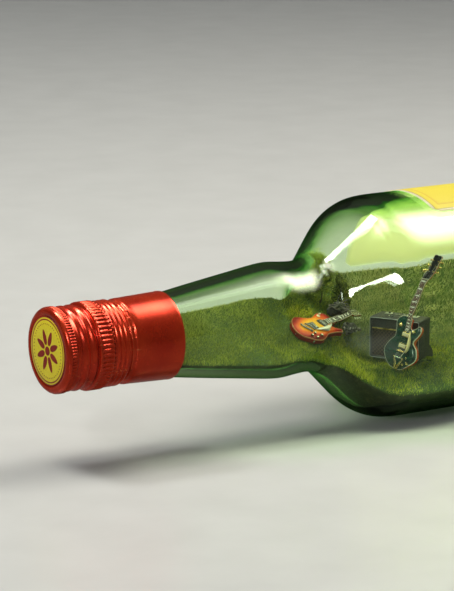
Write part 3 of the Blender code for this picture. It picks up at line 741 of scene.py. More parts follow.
def build_cap(foil, badge, ink, foam):
    """The turned shell with its knurls and rolled thread, and the printed disc and liner in it."""
    shell = [(0.30, 4.0), (0.30, BADGE_R + 0.2), (0.04, BADGE_R + 0.38), (0.0, 12.6), (0.10, 13.15)]
    shell += [(0.35, 13.6), (0.75, 13.95), (1.2, 14.12), (1.35, 14.2)]
    shell += [(at, lambda t: 14.25 + knurl(t, 90, 0.34)) for at in steps(1.6, 3.2, 4)]
    shell += [(3.4, 14.1), (3.55, 13.7), (3.8, 13.5), (4.1, 13.5)]
    shell += [(at, lambda t, at=at: 13.32 + 0.72 * thread(at, t, 3.9, 11.7)) for at in steps(4.3, 11.5, 28)]
    shell += [(11.7, 13.7), (11.85, 14.2), (12.0, 14.4)]
    for at in steps(12.3, 16.6, 6):
        depth = 0.45 * ease(12.2, 12.9, at) * (1 - ease(16.1, 16.7, at))
        shell.append((at, lambda t, depth=depth: 14.6 + knurl(t, 60, depth)))
    shell += [(16.8, 14.5), (17.0, 14.2)]
    shell += [(at, lambda t: 13.95 - 0.5 * (cos(60 * t) > 0.2)) for at in (17.15, 17.65)] + [(17.8, 14.0)]
    shell += [(at, 13.85 + 0.42 * sin(pi * (at - 18.0) / 1.7) ** 2) for at in steps(18.0, 23.1, 36)]
    shell += [(23.25, 13.8), (CAP_END, 13.6), (CAP_END, 13.25), (12.6, 13.2), (12.0, 13.2)]
    shell += [(at, lambda t, at=at: 12.5 + 0.55 * thread(at, t, 3.6, 14.0)) for at in steps(11.6, 3.9, 22)]
    shell += [(3.2, 12.6), (1.0, 12.6), (1.0, 4.0)]
    bm = skin(bmesh.new(), rings_x(shell, 720))
    piece("closure_shell", bm, foil, "red_foil", "cap", cover=["cap_shell"])

    disc = [(0.24, BADGE_R - 0.1), (0.24, BADGE_R), (0.08, BADGE_R), (0.03, BADGE_R - 0.12)]
    disc += [(0.02, 6.0), (0.02, 3.0)]
    bm = skin(bmesh.new(), rings_x(disc, 96))
    piece("closure_disc", bm, badge, "badge_yellow", "cap", cover=["cap_badge"])

    petals, dots = 8, 48
    shapes = []
    for k in range(petals):
        lean = TURN * (k + 0.5) / petals
        petal = []
        for i in range(16):
            t = TURN * i / 16
            reach = 4.6 + 2.6 * cos(t)
            across = 1.05 * sin(t) * (1.0 - 0.25 * cos(t))
            petal.append((reach * cos(lean) - across * sin(lean), reach * sin(lean) + across * cos(lean)))
        shapes.append(petal)
    shapes.append([(p.x, p.y) for p in oval((0, 0, 0), (1.5, 0, 0), (0, 1.5, 0), 20)])
    for k in range(dots):
        lean = TURN * k / dots
        spot = (8.9 * cos(lean), 8.9 * sin(lean), 0.0)
        shapes.append([(p.x, p.y) for p in oval(spot, (0.2, 0, 0), (0, 0.2, 0), 8)])
    bm = bmesh.new()
    for shape in shapes:
        skin(bm, [[row(at, y, z) for y, z in shape] for at in (0.015, -0.03)])
    piece("closure_rosette", bm, ink, "badge_yellow", "cap", smooth=False)

    liner = [(1.15, 4.0), (1.15, 12.2), (1.3, 12.4), (2.3, 12.4), (2.45, 12.2), (2.5, 11.4), (2.35, 11.0)]
    liner += [(2.35, 9.8), (2.5, 9.4), (2.5, 4.0)]
    bm = skin(bmesh.new(), rings_x(liner, 96))
    piece("closure_liner", bm, foam, "liner_white", "cap_carrier", cover=["cap_liner"])


def build_sleeve(foil):
    """The tamper sleeve on the neck: a collar with slits between its bridges, and a rolled lower edge."""
    start, end = SLEEVE
    profile = [(22.6, 12.97), (22.6, 13.08), (COLLAR_AT - 0.2, 13.1), (COLLAR_AT, 13.3), (COLLAR_AT, 13.34)]
    profile += [(COLLAR_AT + 0.05, 13.5)]
    for at, radius in ((start - 0.5, 13.56), (start - 0.25, 13.6)):
        profile.append((at, lambda t, radius=radius: radius - 0.12 * (cos(24 * t) < 0.7)))
    profile += [(start, 13.8), (start + 0.2, 14.0), (start + 0.6, 14.14), (28.0, 14.2), (30.0, 14.27)]
    profile += [(34.0, 14.4), (38.0, 14.53), (42.0, 14.66), (42.7, 14.74), (43.1, 14.70)]
    profile += [(end, 14.55), (end, 14.3)]
    profile += [(42.0, 14.25), (30.0, 13.95), (start + 0.6, 13.7), (start, 13.4), (COLLAR_AT, 13.1)]
    bm = skin(bmesh.new(), rings_x(profile, 480), wrap=True)
    piece("closure_sleeve", bm, foil, "red_foil", cover=["tamper_sleeve"])


def build_label(paper):
    """A curved sheet with round corners, its printed face outwards."""
    columns, rows, corner = 96, 40, 2.0
    rings = []
    for at in steps(*LABEL_AT, rows):
        near = min(at - LABEL_AT[0], LABEL_AT[1] - at, corner)
        cut = degrees((corner - sqrt(max(0.0, corner**2 - (corner - near) ** 2))) / BODY_R)
        turns = [radians(lean) for lean in steps(LABEL_ARC[0] - cut, LABEL_ARC[1] + cut, columns)]
        inner = [row(at, -(BODY_R + 0.06) * sin(turn), (BODY_R + 0.06) * cos(turn)) for turn in turns]
        outer = [row(at, -(BODY_R + 0.24) * sin(turn), (BODY_R + 0.24) * cos(turn)) for turn in turns]
        rings.append(inner + outer[::-1])
    piece("label_sheet", skin(bmesh.new(), rings), paper, "label_paper", cover=["front_label"])


# Landscape


def build_turf(soil):
    """The CAD's turf, rounded off. Returns a tree of it, to plant things on."""
    bm = bmesh.new()
    bm.from_mesh(frame["nodes"]["ground"].data)
    bmesh.ops.remove_doubles(bm, verts=bm.verts, dist=0.00001)
    bmesh.ops.join_triangles(bm, faces=bm.faces, angle_face_threshold=0.9, angle_shape_threshold=0.9)
    made = piece("turf_bed", bm, soil, "turf", cover=["ground"])
    soft = made.modifiers.new("round", "SUBSURF")
    soft.levels = 2
    soft.render_levels = 2
    mesh = bpy.data.meshes.new_from_object(made.evaluated_get(bpy.context.evaluated_depsgraph_get()))
    made.modifiers.clear()
    made.data = mesh
    for face in mesh.polygons:
        face.use_smooth = True
    return BVHTree.FromObject(made, bpy.context.evaluated_depsgraph_get())


def inner_radius(at):
    """The glass's inside radius in mm at a station."""
    last = None
    for a, r in OUTSIDE:
        if a >= at:
            if last is None:
                return r - WALL
            t = (at - last[0]) / (a - last[0])
            return last[1] + (r - last[1]) * t - WALL
        last = (a, r)
    return BODY_R - WALL


def inside_glass(point, margin):
    at = point.x / MM + LENGTH / 2
    y = point.y / MM
    z = point.z / MM - BODY_R
    return y * y + z * z < (inner_radius(at) - margin) ** 2


def blade(bm, root, lean, height, width, facing, slot):
    """One bent blade of three faces."""
    side = Vector((cos(facing), sin(facing), 0.0)) * width / 2
    rows = []
    for t in (0.0, 0.45, 0.8):
        centre = root + UP * height * t + lean * height * t * t
        rows.append((bm.verts.new(centre - side * (1.0 - t)), bm.verts.new(centre + side * (1.0 - t))))
    for low, high in zip(rows, rows[1:]):
        bm.faces.new((low[0], low[1], high[1], high[0])).material_index = slot
    tip = bm.verts.new(root + UP * height + lean * height)
    bm.faces.new((rows[-1][0], rows[-1][1], tip)).material_index = slot


def solid_tree(names):
    """One tree of several CAD nodes, to keep grass out of them."""
    bm = bmesh.new()
    for name in names:
        bm.from_mesh(frame["nodes"][name].data)
    tree = BVHTree.FromBMesh(bm)
    bm.free()
    return tree


def build_grass(turf, looks):
    """Blades over the turf in three zones, longer towards the base. One in five is straw."""
    rng = random.Random(11)
    blocked = solid_tree(["amp_cabinet", "burst_body", "jet_body", "boulder"])
    zones = (
        ("neck", 46.0, 100.0, 34000, (0.55, 1.15)),
        ("shoulder", 100.0, 158.0, 50000, (0.6, 1.35)),
        ("hill", 158.0, 276.0, 42000, (0.7, 1.7)),
    )
    for word, first, last, tries, heights in zones:
        bm = bmesh.new()
        for _ in range(tries):
            at = rng.uniform(first, last)
            limit = inner_radius(at)
            y = rng.uniform(-limit, limit)
            root, normal, *_ = turf.ray_cast(Vector(((at - LENGTH / 2) * MM, y * MM, 0.2)), -UP)
            if root is None or normal.z <= 0.25:
                continue
            size = rng.uniform(*heights) * (0.75 + 0.6 * noise.noise(root * 90.0))
            lean = Vector((rng.gauss(0.0, 0.45), rng.gauss(-0.1, 0.45), 0.0)) + normal * 0.5
            tip = root + (UP + lean) * size * MM
            if not inside_glass(tip, 0.25) or not inside_glass(root, 0.15):
                continue
            if blocked.find_nearest(tip, 0.0006)[0] is not None:
                continue
            above = blocked.ray_cast(root, UP, 0.012)
            if above[0] is not None and above[3] < 0.0009:
                continue
            slot = 0 if rng.random() < 0.8 else 1
            width = rng.uniform(0.10, 0.2) * MM
            blade(bm, root - Vector((0, 0, 0.0001)), lean, size * MM, width, rng.uniform(0, TURN), slot)
        piece(f"grass_{word}", bm, looks, "turf")


def leaf(bm, centre, out, size, rng, slot):
    """A four-cornered leaf facing out, at a random turn and tilt."""
    side = out.orthogonal().normalized()
    side.rotate(Matrix.Rotation(rng.uniform(0, TURN), 3, out))
    up = out.cross(side)
    tilt = (side + out * rng.uniform(-0.6, 0.6)).normalized()
    middle = centre + tilt * size * 0.55
    corners = (centre, middle + up * size * 0.3, centre + tilt * size, middle - up * size * 0.3)
    bm.faces.new([bm.verts.new(p) for p in corners]).material_index = slot


def build_shrub(looks):
    """Leaves over and just under the CAD's rough mass, clumped."""
    rng = random.Random(23)
    count, size = 9000, 0.75
    low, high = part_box("shrub")
    middle = (low + high) / 2
    faces = frame["nodes"]["shrub"].data.polygons
    total = sum(face.area for face in faces)
    bm = bmesh.new()
    for face in faces:
        for _ in range(max(1, int(count * face.area / total))):
            jitter = Vector([rng.uniform(-1, 1) for _ in range(3)]) * 0.0009
            point = face.center + jitter
            depth = rng.random() ** 1.6
            clump = noise.noise(point * 420.0)
            point = point + (middle - point) * (0.02 + 0.38 * depth) - face.normal * 0.0006 * (0.5 - clump)
            out = (face.normal + jitter * 900).normalized()
            spread = size * rng.uniform(0.6, 1.2) * MM
            leaf(bm, point, out, spread, rng, 0 if rng.random() < 0.6 else 1)
    piece("shrub_leaves", bm, looks, "foliage", smooth=False, cover=["shrub"])


def rock(bm, centre, size, seed, sub, slot=0):
    """A ball pushed into ridges and turned."""
    made = bmesh.ops.create_icosphere(bm, subdivisions=sub, radius=1.0)
    turn = Matrix.Rotation(seed * 1.7, 3, Vector((0.3, 0.5, 0.8)).normalized())
    for vert in made["verts"]:
        p = vert.co.copy()
        ridge = abs(noise.noise(p * 1.6 + Vector((seed, 0, 0))))
        bump = 0.85 + 0.45 * ridge + 0.10 * noise.noise(p * 5.0 + Vector((0, seed, 0)))
        p = turn @ (p * bump)
        vert.co = Vector(centre) + Vector([p[k] * size[k] for k in range(3)])
    for face in {f for v in made["verts"] for f in v.link_faces}:
        face.material_index = slot


def spots_on(node, count, rng):
    """Points spread evenly over a CAD node's own surface, with the normal at each."""
    mesh = frame["nodes"][node].data
    total = sum(face.area for face in mesh.polygons)
    found = []
    for face in mesh.polygons:
        share = count * face.area / total
        for _ in range(int(share) + (rng.random() < share % 1.0)):
            a, b, c = (mesh.vertices[i].co for i in list(face.vertices)[:3])
            u, v = rng.random(), rng.random()
            if u + v > 1.0:
                u, v = 1.0 - u, 1.0 - v
            found.append((a + (b - a) * u + (c - a) * v, face.normal.copy()))
    return found


def scatter_rocks(bm, node, count, rng, radii, sink, stretches, pale_share, foot=0.0):
    """Rocks on a CAD node above its foot, sunk by shares towards its middle and along the normal."""
    low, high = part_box(node)
    middle = (low + high) / 2
    for point, normal in spots_on(node, count, rng):
        if foot and point.z < low.z + (high.z - low.z) * foot:
            continue
        r = rng.uniform(*radii) * MM
        spot = point.lerp(middle, sink[0]) - normal * r * sink[1]
        size = [r * rng.uniform(*stretch) for stretch in stretches]
        rock(bm, spot, size, rng.uniform(0, 40), 2, 1 if rng.random() < pale_share else 0)
    return low, high, middle


def build_stones(dark, pale, wood):
    """The dark outcrop with broken branches, and the heap of stones and pebbles under the guitar's neck."""
    rng = random.Random(5)
    bm = bmesh.new()
    stretches = ((0.8, 1.5), (0.7, 1.2), (0.5, 0.9))
    low, high, middle = scatter_rocks(bm, "boulder", 60, rng, (0.35, 0.85), (0.12, 0.5), stretches, 0.12)
    cores = [((0.0, 0.0, 0.0), 0.36, 3.0), ((0.0020, 0.0004, -0.0006), 0.25, 8.0)]
    for offset, share, seed in [*cores, ((-0.0022, 0.0, -0.0008), 0.23, 5.0)]:
        rock(bm, middle + Vector(offset), (high - low) * share, seed, 4)
    piece("outcrop", bm, [dark, pale], "rock", cover=["boulder"], smooth=False)

    bm = bmesh.new()
    stretches = ((0.8, 1.4), (0.7, 1.1), (0.55, 0.85))
    heap = scatter_rocks(bm, "stone_heap", 300, rng, (0.16, 0.58), (0.06, 0.35), stretches, 0.22, 0.45)
    rock(bm, heap[2] + Vector((0, 0, 0.0006)), (heap[1] - heap[0]) * 0.28, 12.0, 3)
    piece("stone_pile", bm, [dark, pale], "rock", cover=["stone_heap"], smooth=False)

    bm = bmesh.new()
    for _ in range(22):
        spans = ((low.x, high.x), (low.y - 0.001, high.y), (low.z + 0.002, high.z))
        path = [Vector([rng.uniform(*span) for span in spans])]
        ahead = Vector((rng.uniform(0.3, 1.0), rng.uniform(-0.5, 0.1), rng.uniform(-0.35, 0.45))).normalized()
        for _ in range(6):
            bend = Vector((rng.gauss(0, 0.22), rng.gauss(0, 0.22), rng.gauss(-0.03, 0.2)))
            ahead = (ahead + bend).normalized()
            path.append(path[-1] + ahead * rng.uniform(0.0006, 0.0011))
        if all(inside_glass(p, 0.5) for p in path):
            tube(bm, path, lambda t: 0.00020 * (1.0 - 0.7 * t), 6)
    piece("dead_branches", bm, wood, "rock")


def build_sapling(looks, bark):
    """A trunk, branches to a crown's tips, and leaves round the tips, with painted sunlight on the top ones.
    """
    rng = random.Random(41)
    low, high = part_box("sapling")
    middle = (low + high) / 2
    foot = Vector((middle.x, middle.y, low.z))
    crown = Vector((middle.x, middle.y, low.z + (high.z - low.z) * 0.52))
    reach = Vector(((high.x - low.x) * 0.58, (high.y - low.y) * 0.52, (high.z - low.z) * 0.48))
    bends = [foot + Vector(bend) for bend in ((0, 0, -0.0006), (0.0004, 0, 0.004), (-0.0003, 0.0002, 0.008))]
    trunk = spline([*bends, crown], 4)
    bm = bmesh.new()
    tube(bm, trunk, lambda t: 0.00022 * (1.0 - 0.5 * t), 8)
    tips = []
    for _ in range(38):
        start = trunk[rng.randrange(5, len(trunk) - 1)]
        aim = Vector((rng.gauss(0, 1), rng.gauss(0, 1), rng.gauss(0.3, 0.9))).normalized()
        end = crown + Vector([aim[k] * reach[k] * rng.uniform(0.4, 0.85) for k in range(3)])
        bend = start.lerp(end, 0.5) + Vector((0, 0, -0.0004))
        tube(bm, spline([start, bend, end], 3), lambda t: 0.00016 * (1.0 - 0.6 * t), 5)
        tips.append(end)
    piece("sapling_wood", bm, bark, "foliage_light", cover=["sapling"])
    bm = bmesh.new()
    for _ in range(9500):
        point = rng.choice(tips) + Vector((rng.gauss(0, 0.0012), rng.gauss(0, 0.0010), rng.gauss(0, 0.0015)))
        off = point - crown
        if sum((off[k] / reach[k]) ** 2 for k in range(3)) > 1.15 or not inside_glass(point, 0.8):
            continue
        out = (off.normalized() + Vector((0, 0, 0.4))).normalized()
        size = rng.uniform(0.35, 0.75) * MM
        # Painted light: leaves high in the crown take the pale sunlit finish, lower ones the darker olive as
        # painted shade.
        leaf(bm, point, out, size, rng, 0 if off.z / reach.z + rng.gauss(0, 0.35) > 0.15 else 1)
    piece("sapling_leaves", bm, looks, "foliage_light", smooth=False)


# Amplifier


def build_amp(looks):
    place = amp_place()
    add = adder("amp", place, looks)
    wide, deep, tall = AMP_SIZE
    left, right = AMP_WALL + 0.06, wide - AMP_WALL - 0.06
    low_z, high_z = AMP_LIFT + AMP_WALL + 0.06, tall - AMP_WALL - 0.06
    split = tall - AMP_WALL - 3.3

    def frame_ring(inset, radius, y, per=5):
        outline = rounded(inset, AMP_LIFT + inset, wide - inset, tall - inset, radius, per)
        return [Vector((x, y, z)) for x, z in outline]

    shell = [(0.12, 0.7, 0.2), (0.0, 0.8, 0.35), (0.0, 0.8, deep - 0.15), (0.15, 0.7, deep)]
    shell += [(AMP_WALL, 0.2, deep), (AMP_WALL, 0.2, 0.2)]
    bm = skin(bmesh.new(), [frame_ring(*ring) for ring in shell], wrap=True)
    add("shell", bm, "black_covering", "black_covering", "cabinet")
    bm = tube(bmesh.new(), frame_ring(0.28, 0.62, 0.03, 6), 0.15, closed=True)
    add("front_piping", bm, "piping_grey", "piping_grey", "piping")

    bm = bmesh.new()
    columns, rows = 30, 22
    grid = []
    for v in steps(0, 1, rows):
        line = []
        for u in steps(0, 1, columns):
            belly = 0.10 * sin(pi * u) ** 0.4 * sin(pi * v) ** 0.4
            height = low_z + (split - 0.05 - low_z) * v
            line.append(bm.verts.new((left + (right - left) * u, 0.60 - belly, height)))
        grid.append(line)
    for low, high in zip(grid, grid[1:]):
        for i in range(columns):
            bm.faces.new((low[i], low[i + 1], high[i + 1], high[i]))
    edge = grid[0] + [line[-1] for line in grid[1:]] + grid[-1][-2::-1] + [line[0] for line in grid[-2:0:-1]]
    rear = [bm.verts.new((v.co.x, 0.9, v.co.z)) for v in edge]
    for i in range(len(edge)):
        j = (i + 1) % len(edge)
        bm.faces.new((edge[i], edge[j], rear[j], rear[i]))
    bm.faces.new(rear)
    add("cloth", bm, "grille_cloth", "grille_cloth", "grille")

    bm = box(bmesh.new(), (left, 0.32, split), (right, 0.9, split + 0.36))
    add("gold_bar", bm, "strip_gold", "strip_gold", "strip", bevel=0.06, smooth=False)
    bm = box(bmesh.new(), (left, 0.5, split + 0.45), (right, 0.9, high_z))
    add("head_panel", bm, "panel_dark", "black_covering", "upper_panel", bevel=0.08, smooth=False)

    bm = bmesh.new()
    box(bm, (left, deep - 0.8, low_z), (right, deep - 0.35, low_z + 5.2))
    box(bm, (left, deep - 0.8, high_z - 4.4), (right, deep - 0.35, high_z))
    for x in (left, right - 0.5):
        box(bm, (x, deep - 0.9, low_z + 0.1), (x + 0.5, deep - 0.7, high_z - 0.1))
    add("rear_boards", bm, "black_covering", "black_covering", "back_panel", bevel=0.06, smooth=False)
    bm = bmesh.new()
    for x in (left + 0.6, right - 0.6, (left + right) / 2):
        for z in (low_z + 0.6, high_z - 0.6):
            turned(bm, (x, deep, z), ((-0.36, 0.26), (-0.28, 0.24), (-0.22, 0.14)), 12, spin=SIDEWAYS)
    add("rear_screws", bm, "panel_metal", "panel_metal")

    cone = [(1.05, 4.45), (1.15, 4.5), (1.5, 4.5), (1.9, 4.0), (3.5, 2.35), (5.6, 2.3), (5.95, 2.1)]
    cone += [(5.95, 0.9), (5.0, 0.8), (3.4, 0.9), (2.9, 1.1), (1.9, 2.6), (1.35, 3.9), (1.15, 4.2)]
    middle = (wide / 2, 0.0, (AMP_LIFT + AMP_WALL + split) / 2)
    bm = turned(bmesh.new(), middle, cone, 48, spin=SIDEWAYS, wrap=True)
    add("driver", bm, "speaker_cone", "speaker_cone", "speaker")

    bm = box(bmesh.new(), (3.0, 5.9, tall + 0.04), (wide - 3.0, 8.3, tall + 0.2))
    add("controls_plate", bm, "panel_metal", "panel_metal", "control_panel", bevel=0.05, smooth=False)
    bm = bmesh.new()
    knob = [(0, 0.42), (0.1, 0.42), (0.15, 0.34), (0.42, 0.3), (0.46, 0.22)]
    for i in range(7):
        turned(bm, (4.6 + 1.75 * i, 7.1, tall + 0.2), knob, 20, ripple=lambda t: 1.0 + 0.05 * cos(10 * t))
    turned(bm, (wide - 3.6, 7.1, tall + 0.2), [(0, 0.2), (0.12, 0.2), (0.2, 0.12)], 16)
    add("controls", bm, "foot_rubber", "foot_rubber")

    rings = []
    for t in steps(0, 1, 24):
        point = (wide / 2 + 3.6 * (2.0 * t - 1.0), 3.3, tall + 0.28 + 0.95 * sin(pi * t) ** 0.6)
        rings.append(oval(point, (0, 0.62 + 0.10 * cos(TURN * t), 0), (0, 0, 0.17), 14))
    add("strap", skin(bmesh.new(), rings), "strap_leather", "black_covering", "handle")
    bm = bmesh.new()
    for x in (wide / 2 - 3.6, wide / 2 + 3.6):
        box(bm, (x - 0.75, 2.6, tall + 0.03), (x + 0.75, 4.0, tall + 0.34))
    add("strap_ends", bm, "panel_metal", "panel_metal", bevel=0.12, smooth=False)

    glide = [(0, 0.4), (0.03, 0.52), (0.15, 0.58), (0.3, 0.55), (0.4, 0.45)]
    for i in (1, 2, 3, 4):
        low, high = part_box(f"amp_foot_{i}")
        spot = Matrix.Translation(((low.x + high.x) / 2, (low.y + high.y) / 2, low.z)) @ Matrix.Scale(MM, 4)
        bm = turned(bmesh.new(), (0, 0, 0), glide, 20)
        piece(f"amp_glide_{i}", bm, looks["foot_rubber"], "foot_rubber", place=spot, cover=[f"amp_foot_{i}"])




# Guitars


class Guitar:
    """A guitar's stations in mm along its own x axis, and the means to add pieces in its own frame."""

    def __init__(self, prefix, knobs, scale, nut, tip, board_end, metal, binding, looks):
        self.prefix, self.knobs, self.metal, self.binding = prefix, knobs, metal, binding
        self.nut, self.tip, self.board_end = nut, tip, board_end
        self.add = adder(prefix, guitar_place(prefix, knobs[0], scale), looks)

    def edge(self, x):
        """Half the fretboard's width at a station."""
        return 28.5 + (21.5 - 28.5) * (x - self.board_end) / (self.nut - self.board_end)

    def fret(self, number):
        return self.nut - (self.nut - BRIDGE_X) * (1.0 - 2.0 ** (-number / 12.0))

    def string(self, k, x):
        """y and z of one of the six strings at a station."""
        t = (x - BRIDGE_X) / (self.nut - BRIDGE_X)
        half = 25.5 + (17.5 - 25.5) * t
        return half - 2 * half * k / 5.0, TOP_Z + 16.2 + (2 * FIT + 8.6 - 16.2) * t


def body_outline(bout, horn, notch, slim=1.0, waist=108.0):
    """A single-cutaway outline: the bass side from the tail to the neck, the cutaway, the treble side."""
    bass = [(0.0, 0.0), (14.0, 74.0), (66.0, 138.0), (130.0, bout), (198.0, 148.0), (258.0, 108.0)]
    bass += [(318.0, 118.0), (384.0, 134.0), (430.0, 96.0), (BODY_LONG, 34.0)]
    cutaway = [(BODY_LONG - 6.0, -27.0), (notch + 22.0, -35.0), (notch, -61.0), (notch + 18.0, -86.0)]
    cutaway += [horn, (horn[0] - 16.0, horn[1] - 23.0), (horn[0] - 62.0, -130.0)]
    treble = [(x, -max(y, waist) if x > 198.0 else -y) for x, y in bass[1:6]][::-1]
    return [(x, y * slim) for x, y in flat_spline(bass + cutaway + treble, 10, closed=True)]


def inset(outline, distance):
    """The outline moved inwards by a distance, each point along its own normal."""
    count = len(outline)
    moved = []
    for i, (x, y) in enumerate(outline):
        (x0, y0), (x1, y1) = outline[i - 2], outline[(i + 2) % count]
        dx, dy = x1 - x0, y1 - y0
        size = hypot(dx, dy) or 1.0
        moved.append((x + dy / size * distance, y - dx / size * distance))
    return moved


def scaled(outline, factor):
    """The outline drawn in towards the body's middle."""
    return [(215.0 + (x - 215.0) * factor, y * factor) for x, y in outline]


def build_body(guitar, outline, look, binding):
    """A carved-top body with rounded back edge and a binding strip let into its top edge."""
    rim, crown = inset(outline, 8.0), TOP_Z - BODY_DEEP - 1.6
    layers = [(inset(outline, 6.0), 0.0), (inset(outline, 2.0), 1.6), (outline, 5.5)]
    layers += [(outline, BODY_DEEP - 1.0), (inset(outline, 1.2), BODY_DEEP + 0.6), (rim, BODY_DEEP + 1.6)]
    for t in (0.25, 0.5, 0.75, 1.0):
        layers.append((scaled(rim, 1.0 - 0.16 * t), BODY_DEEP + 1.6 + crown * sin(pi * t / 2)))
    layers.append((scaled(rim, 0.5), TOP_Z))
    guitar.add("top", skin(bmesh.new(), [flat(*layer) for layer in layers]), look, look, "body")
    layers = [(-0.5, -7.0), (-0.5, -0.2), (0.6, 1.1), (3.0, 2.0), (3.0, -7.0)]
    rings = [flat(inset(outline, shrink), BODY_DEEP + lift) for shrink, lift in layers]
    guitar.add("top_binding", skin(bmesh.new(), rings, wrap=True), binding, "cream_plastic")


def build_neck(guitar, from_nut, from_tip, wood, board):
    """The neck with its heel and head, the fretboard, their bindings, the frets and the nut.

    The head's outline is given as half widths at distances from the nut, then from the tip.
    """
    nut = guitar.nut
    half_head = [(nut - 1.0 + x, y) for x, y in from_nut] + [(guitar.tip + x, y) for x, y in from_tip]
    curve = flat_spline(half_head, 5)
    outline = curve + [(x, -y) for x, y in reversed(curve[:-1])]

    def head_rings(*layers):
        rings = []
        for shrink, lift in layers:
            rings.append([(x, y, DECK + lift - (x - nut) * HEAD_SLOPE) for x, y in inset(outline, shrink)])
        return rings

    sections = [(BODY_LONG + 1.5, 27.5, 26.0), (462.0, 27.0, 27.0), (482.0, 26.5, 35.0), (505.0, 26.0, 40.0)]
    sections += [(540.0, 25.5, 42.5), (nut - 20, 22.0, 45.0), (nut, 21.6, 44.0)]
    rings = []
    for x, half, low in sections:
        ring = [(x, -half, DECK)]
        for turn in steps(0, pi, 12):
            ring.append((x, -half * cos(turn), DECK - 4.0 - (DECK - 4.0 - low) * sin(turn) ** 0.8))
        rings.append(ring + [(x, half, DECK)])
    bm = skin(bmesh.new(), rings)
    skin(bm, head_rings((0.0, -14.0), (0.0, -0.5)))
    guitar.add("neck_wood", bm, wood, "mahogany", "neck", bevel=1.0)
    bm = skin(bmesh.new(), head_rings((2.2, -0.4), (2.2, 0.5)))
    guitar.add("head_face", bm, "head_black", "dark_plastic", smooth=False)
    bm = skin(bmesh.new(), head_rings((-0.3, -0.6), (-0.3, 0.3), (2.1, 0.45), (2.1, -0.6)), wrap=True)
    guitar.add("head_binding", bm, guitar.binding, "cream_plastic")

    rings = []
    for x in steps(guitar.board_end, nut - 1.5, 12):
        half = guitar.edge(x) - 1.6
        side = [(half, BOARD_LOW), (half, BOARD_HIGH - 0.9), (half * 0.5, BOARD_HIGH - 0.2)]
        near, far = [(x, -y, z) for y, z in side], [(x, y, z) for y, z in reversed(side)]
        rings.append([*near, (x, 0, BOARD_HIGH), *far])
    guitar.add("board", skin(bmesh.new(), rings), board, "rosewood", "fretboard")
    bm = bmesh.new()
    for side in (-1.0, 1.0):
        rings = []
        for x in steps(guitar.board_end, nut - 1.5, 6):
            a, b = side * guitar.edge(x), side * (guitar.edge(x) - 1.7)
            outer = [(x, a, BOARD_LOW - 0.4), (x, a, BOARD_HIGH - 1.0)]
            rings.append(outer + [(x, b, BOARD_HIGH - 0.75), (x, b, BOARD_LOW - 0.4)])
        skin(bm, rings)
    guitar.add("board_binding", bm, guitar.binding, "cream_plastic", smooth=False)

    bm = bmesh.new()
    for number in range(1, FRETS + 1):
        x = guitar.fret(number)
        if x >= guitar.board_end + 3:
            half = guitar.edge(x) - 0.6
            path = [Vector((x, half * k, BOARD_HIGH - 0.1 - 0.7 * k**2)) for k in steps(-1, 1, 8)]
            tube(bm, path, 1.1, 6)
    guitar.add("frets", bm, "nickel", "nickel")
    bm = box(bmesh.new(), (nut - 1.2, -21.2, BOARD_LOW + 1.0), (nut + 3.4, 21.2, BOARD_HIGH + 2.0))
    guitar.add("nut", bm, guitar.binding, "cream_plastic", bevel=0.7, smooth=False)


def build_inlays(guitar, first, gap, wide_low, wide_high):
    """Inlays from the first marked fret up. gap is their share of a fret's room left free at each end."""
    bm = bmesh.new()
    for number in MARKED_FRETS:
        a, b = guitar.fret(number), guitar.fret(number - 1)
        if number < first or a < guitar.board_end + 4:
            continue
        x0, x1 = a + (b - a) * gap, a + (b - a) * (1.0 - gap)
        half0, half1 = (guitar.edge(x0) - 1.6) * wide_low, (guitar.edge(x1) - 1.6) * wide_high
        rings = []
        for t in steps(-1, 1, 6):
            ends = ((x0, half0 * t), (x1, half1 * t))
            corners = [(x, y, BOARD_HIGH - 0.9 * (y / 27.0) ** 2) for x, y in ends]
            low = [(x, y, z - 1.0) for x, y, z in corners]
            rings.append(low + [(x, y, z + 0.12) for x, y, z in reversed(corners)])
        skin(bm, rings)
    guitar.add("inlays", bm, "pearl", "cream_plastic", smooth=False)


def build_strings(guitar, tail_x, tail_z, posts):
    """Six strings from the tail over the bridge to the nut and on to their posts."""
    bm = bmesh.new()
    for k, post in enumerate(posts):
        path = [Vector((tail_x, guitar.string(k, tail_x)[0], tail_z))]
        path += [Vector((x, *guitar.string(k, x))) for x in steps(BRIDGE_X, guitar.nut, 4)]
        tube(bm, [*path, post], 0.62 - 0.07 * k, 5)
    guitar.add("strings", bm, "string_steel", "nickel")


def build_tuners(guitar, button):
    """Posts through the head's face and buttons at its edges, three a side. Returns the strings' ends."""
    post = [(0, 5.4), (2.2, 5.4), (2.6, 3.2), (9.0, 3.0), (9.6, 3.4), (11.0, 3.2)]
    places = []
    for side, word in ((1.0, "bass"), (-1.0, "treble")):
        bm = bmesh.new()
        for back in (143.0, 99.0, 55.0):
            x = guitar.tip - back
            z = DECK - (x - guitar.nut) * HEAD_SLOPE
            turned(bm, (x, side * 22.0, z - 1.0), post, 16)
            places.append(Vector((x, side * 22.0, z + 5.5)))
            low, high = sorted((side * 16.0, side * 37.5))
            box(bm, (x - 7.5, low, z - 20.0), (x + 7.5, high, z - 14.6))
            tube(bm, [Vector((x, side * y, z - 17.5)) for y in (34.0, 44.0)], 2.4, 10)
            rings = []
            for t in steps(0, 1, 6):
                half = 3.5 + 5.0 * sin(pi * min(1.0, 0.25 + 0.65 * t))
                rings.append(oval((x, side * (43.0 + 17.0 * t), z - 17.5), (half, 0, 0), (0, 0, 3.0), 16))
            skin(bm, rings, slot=1)
        look = f"{guitar.metal} {button}"
        guitar.add(f"machines_{word}", bm, look, guitar.metal, f"tuners_{word}", bevel=0.5)
    return places[:3] + places[:2:-1]


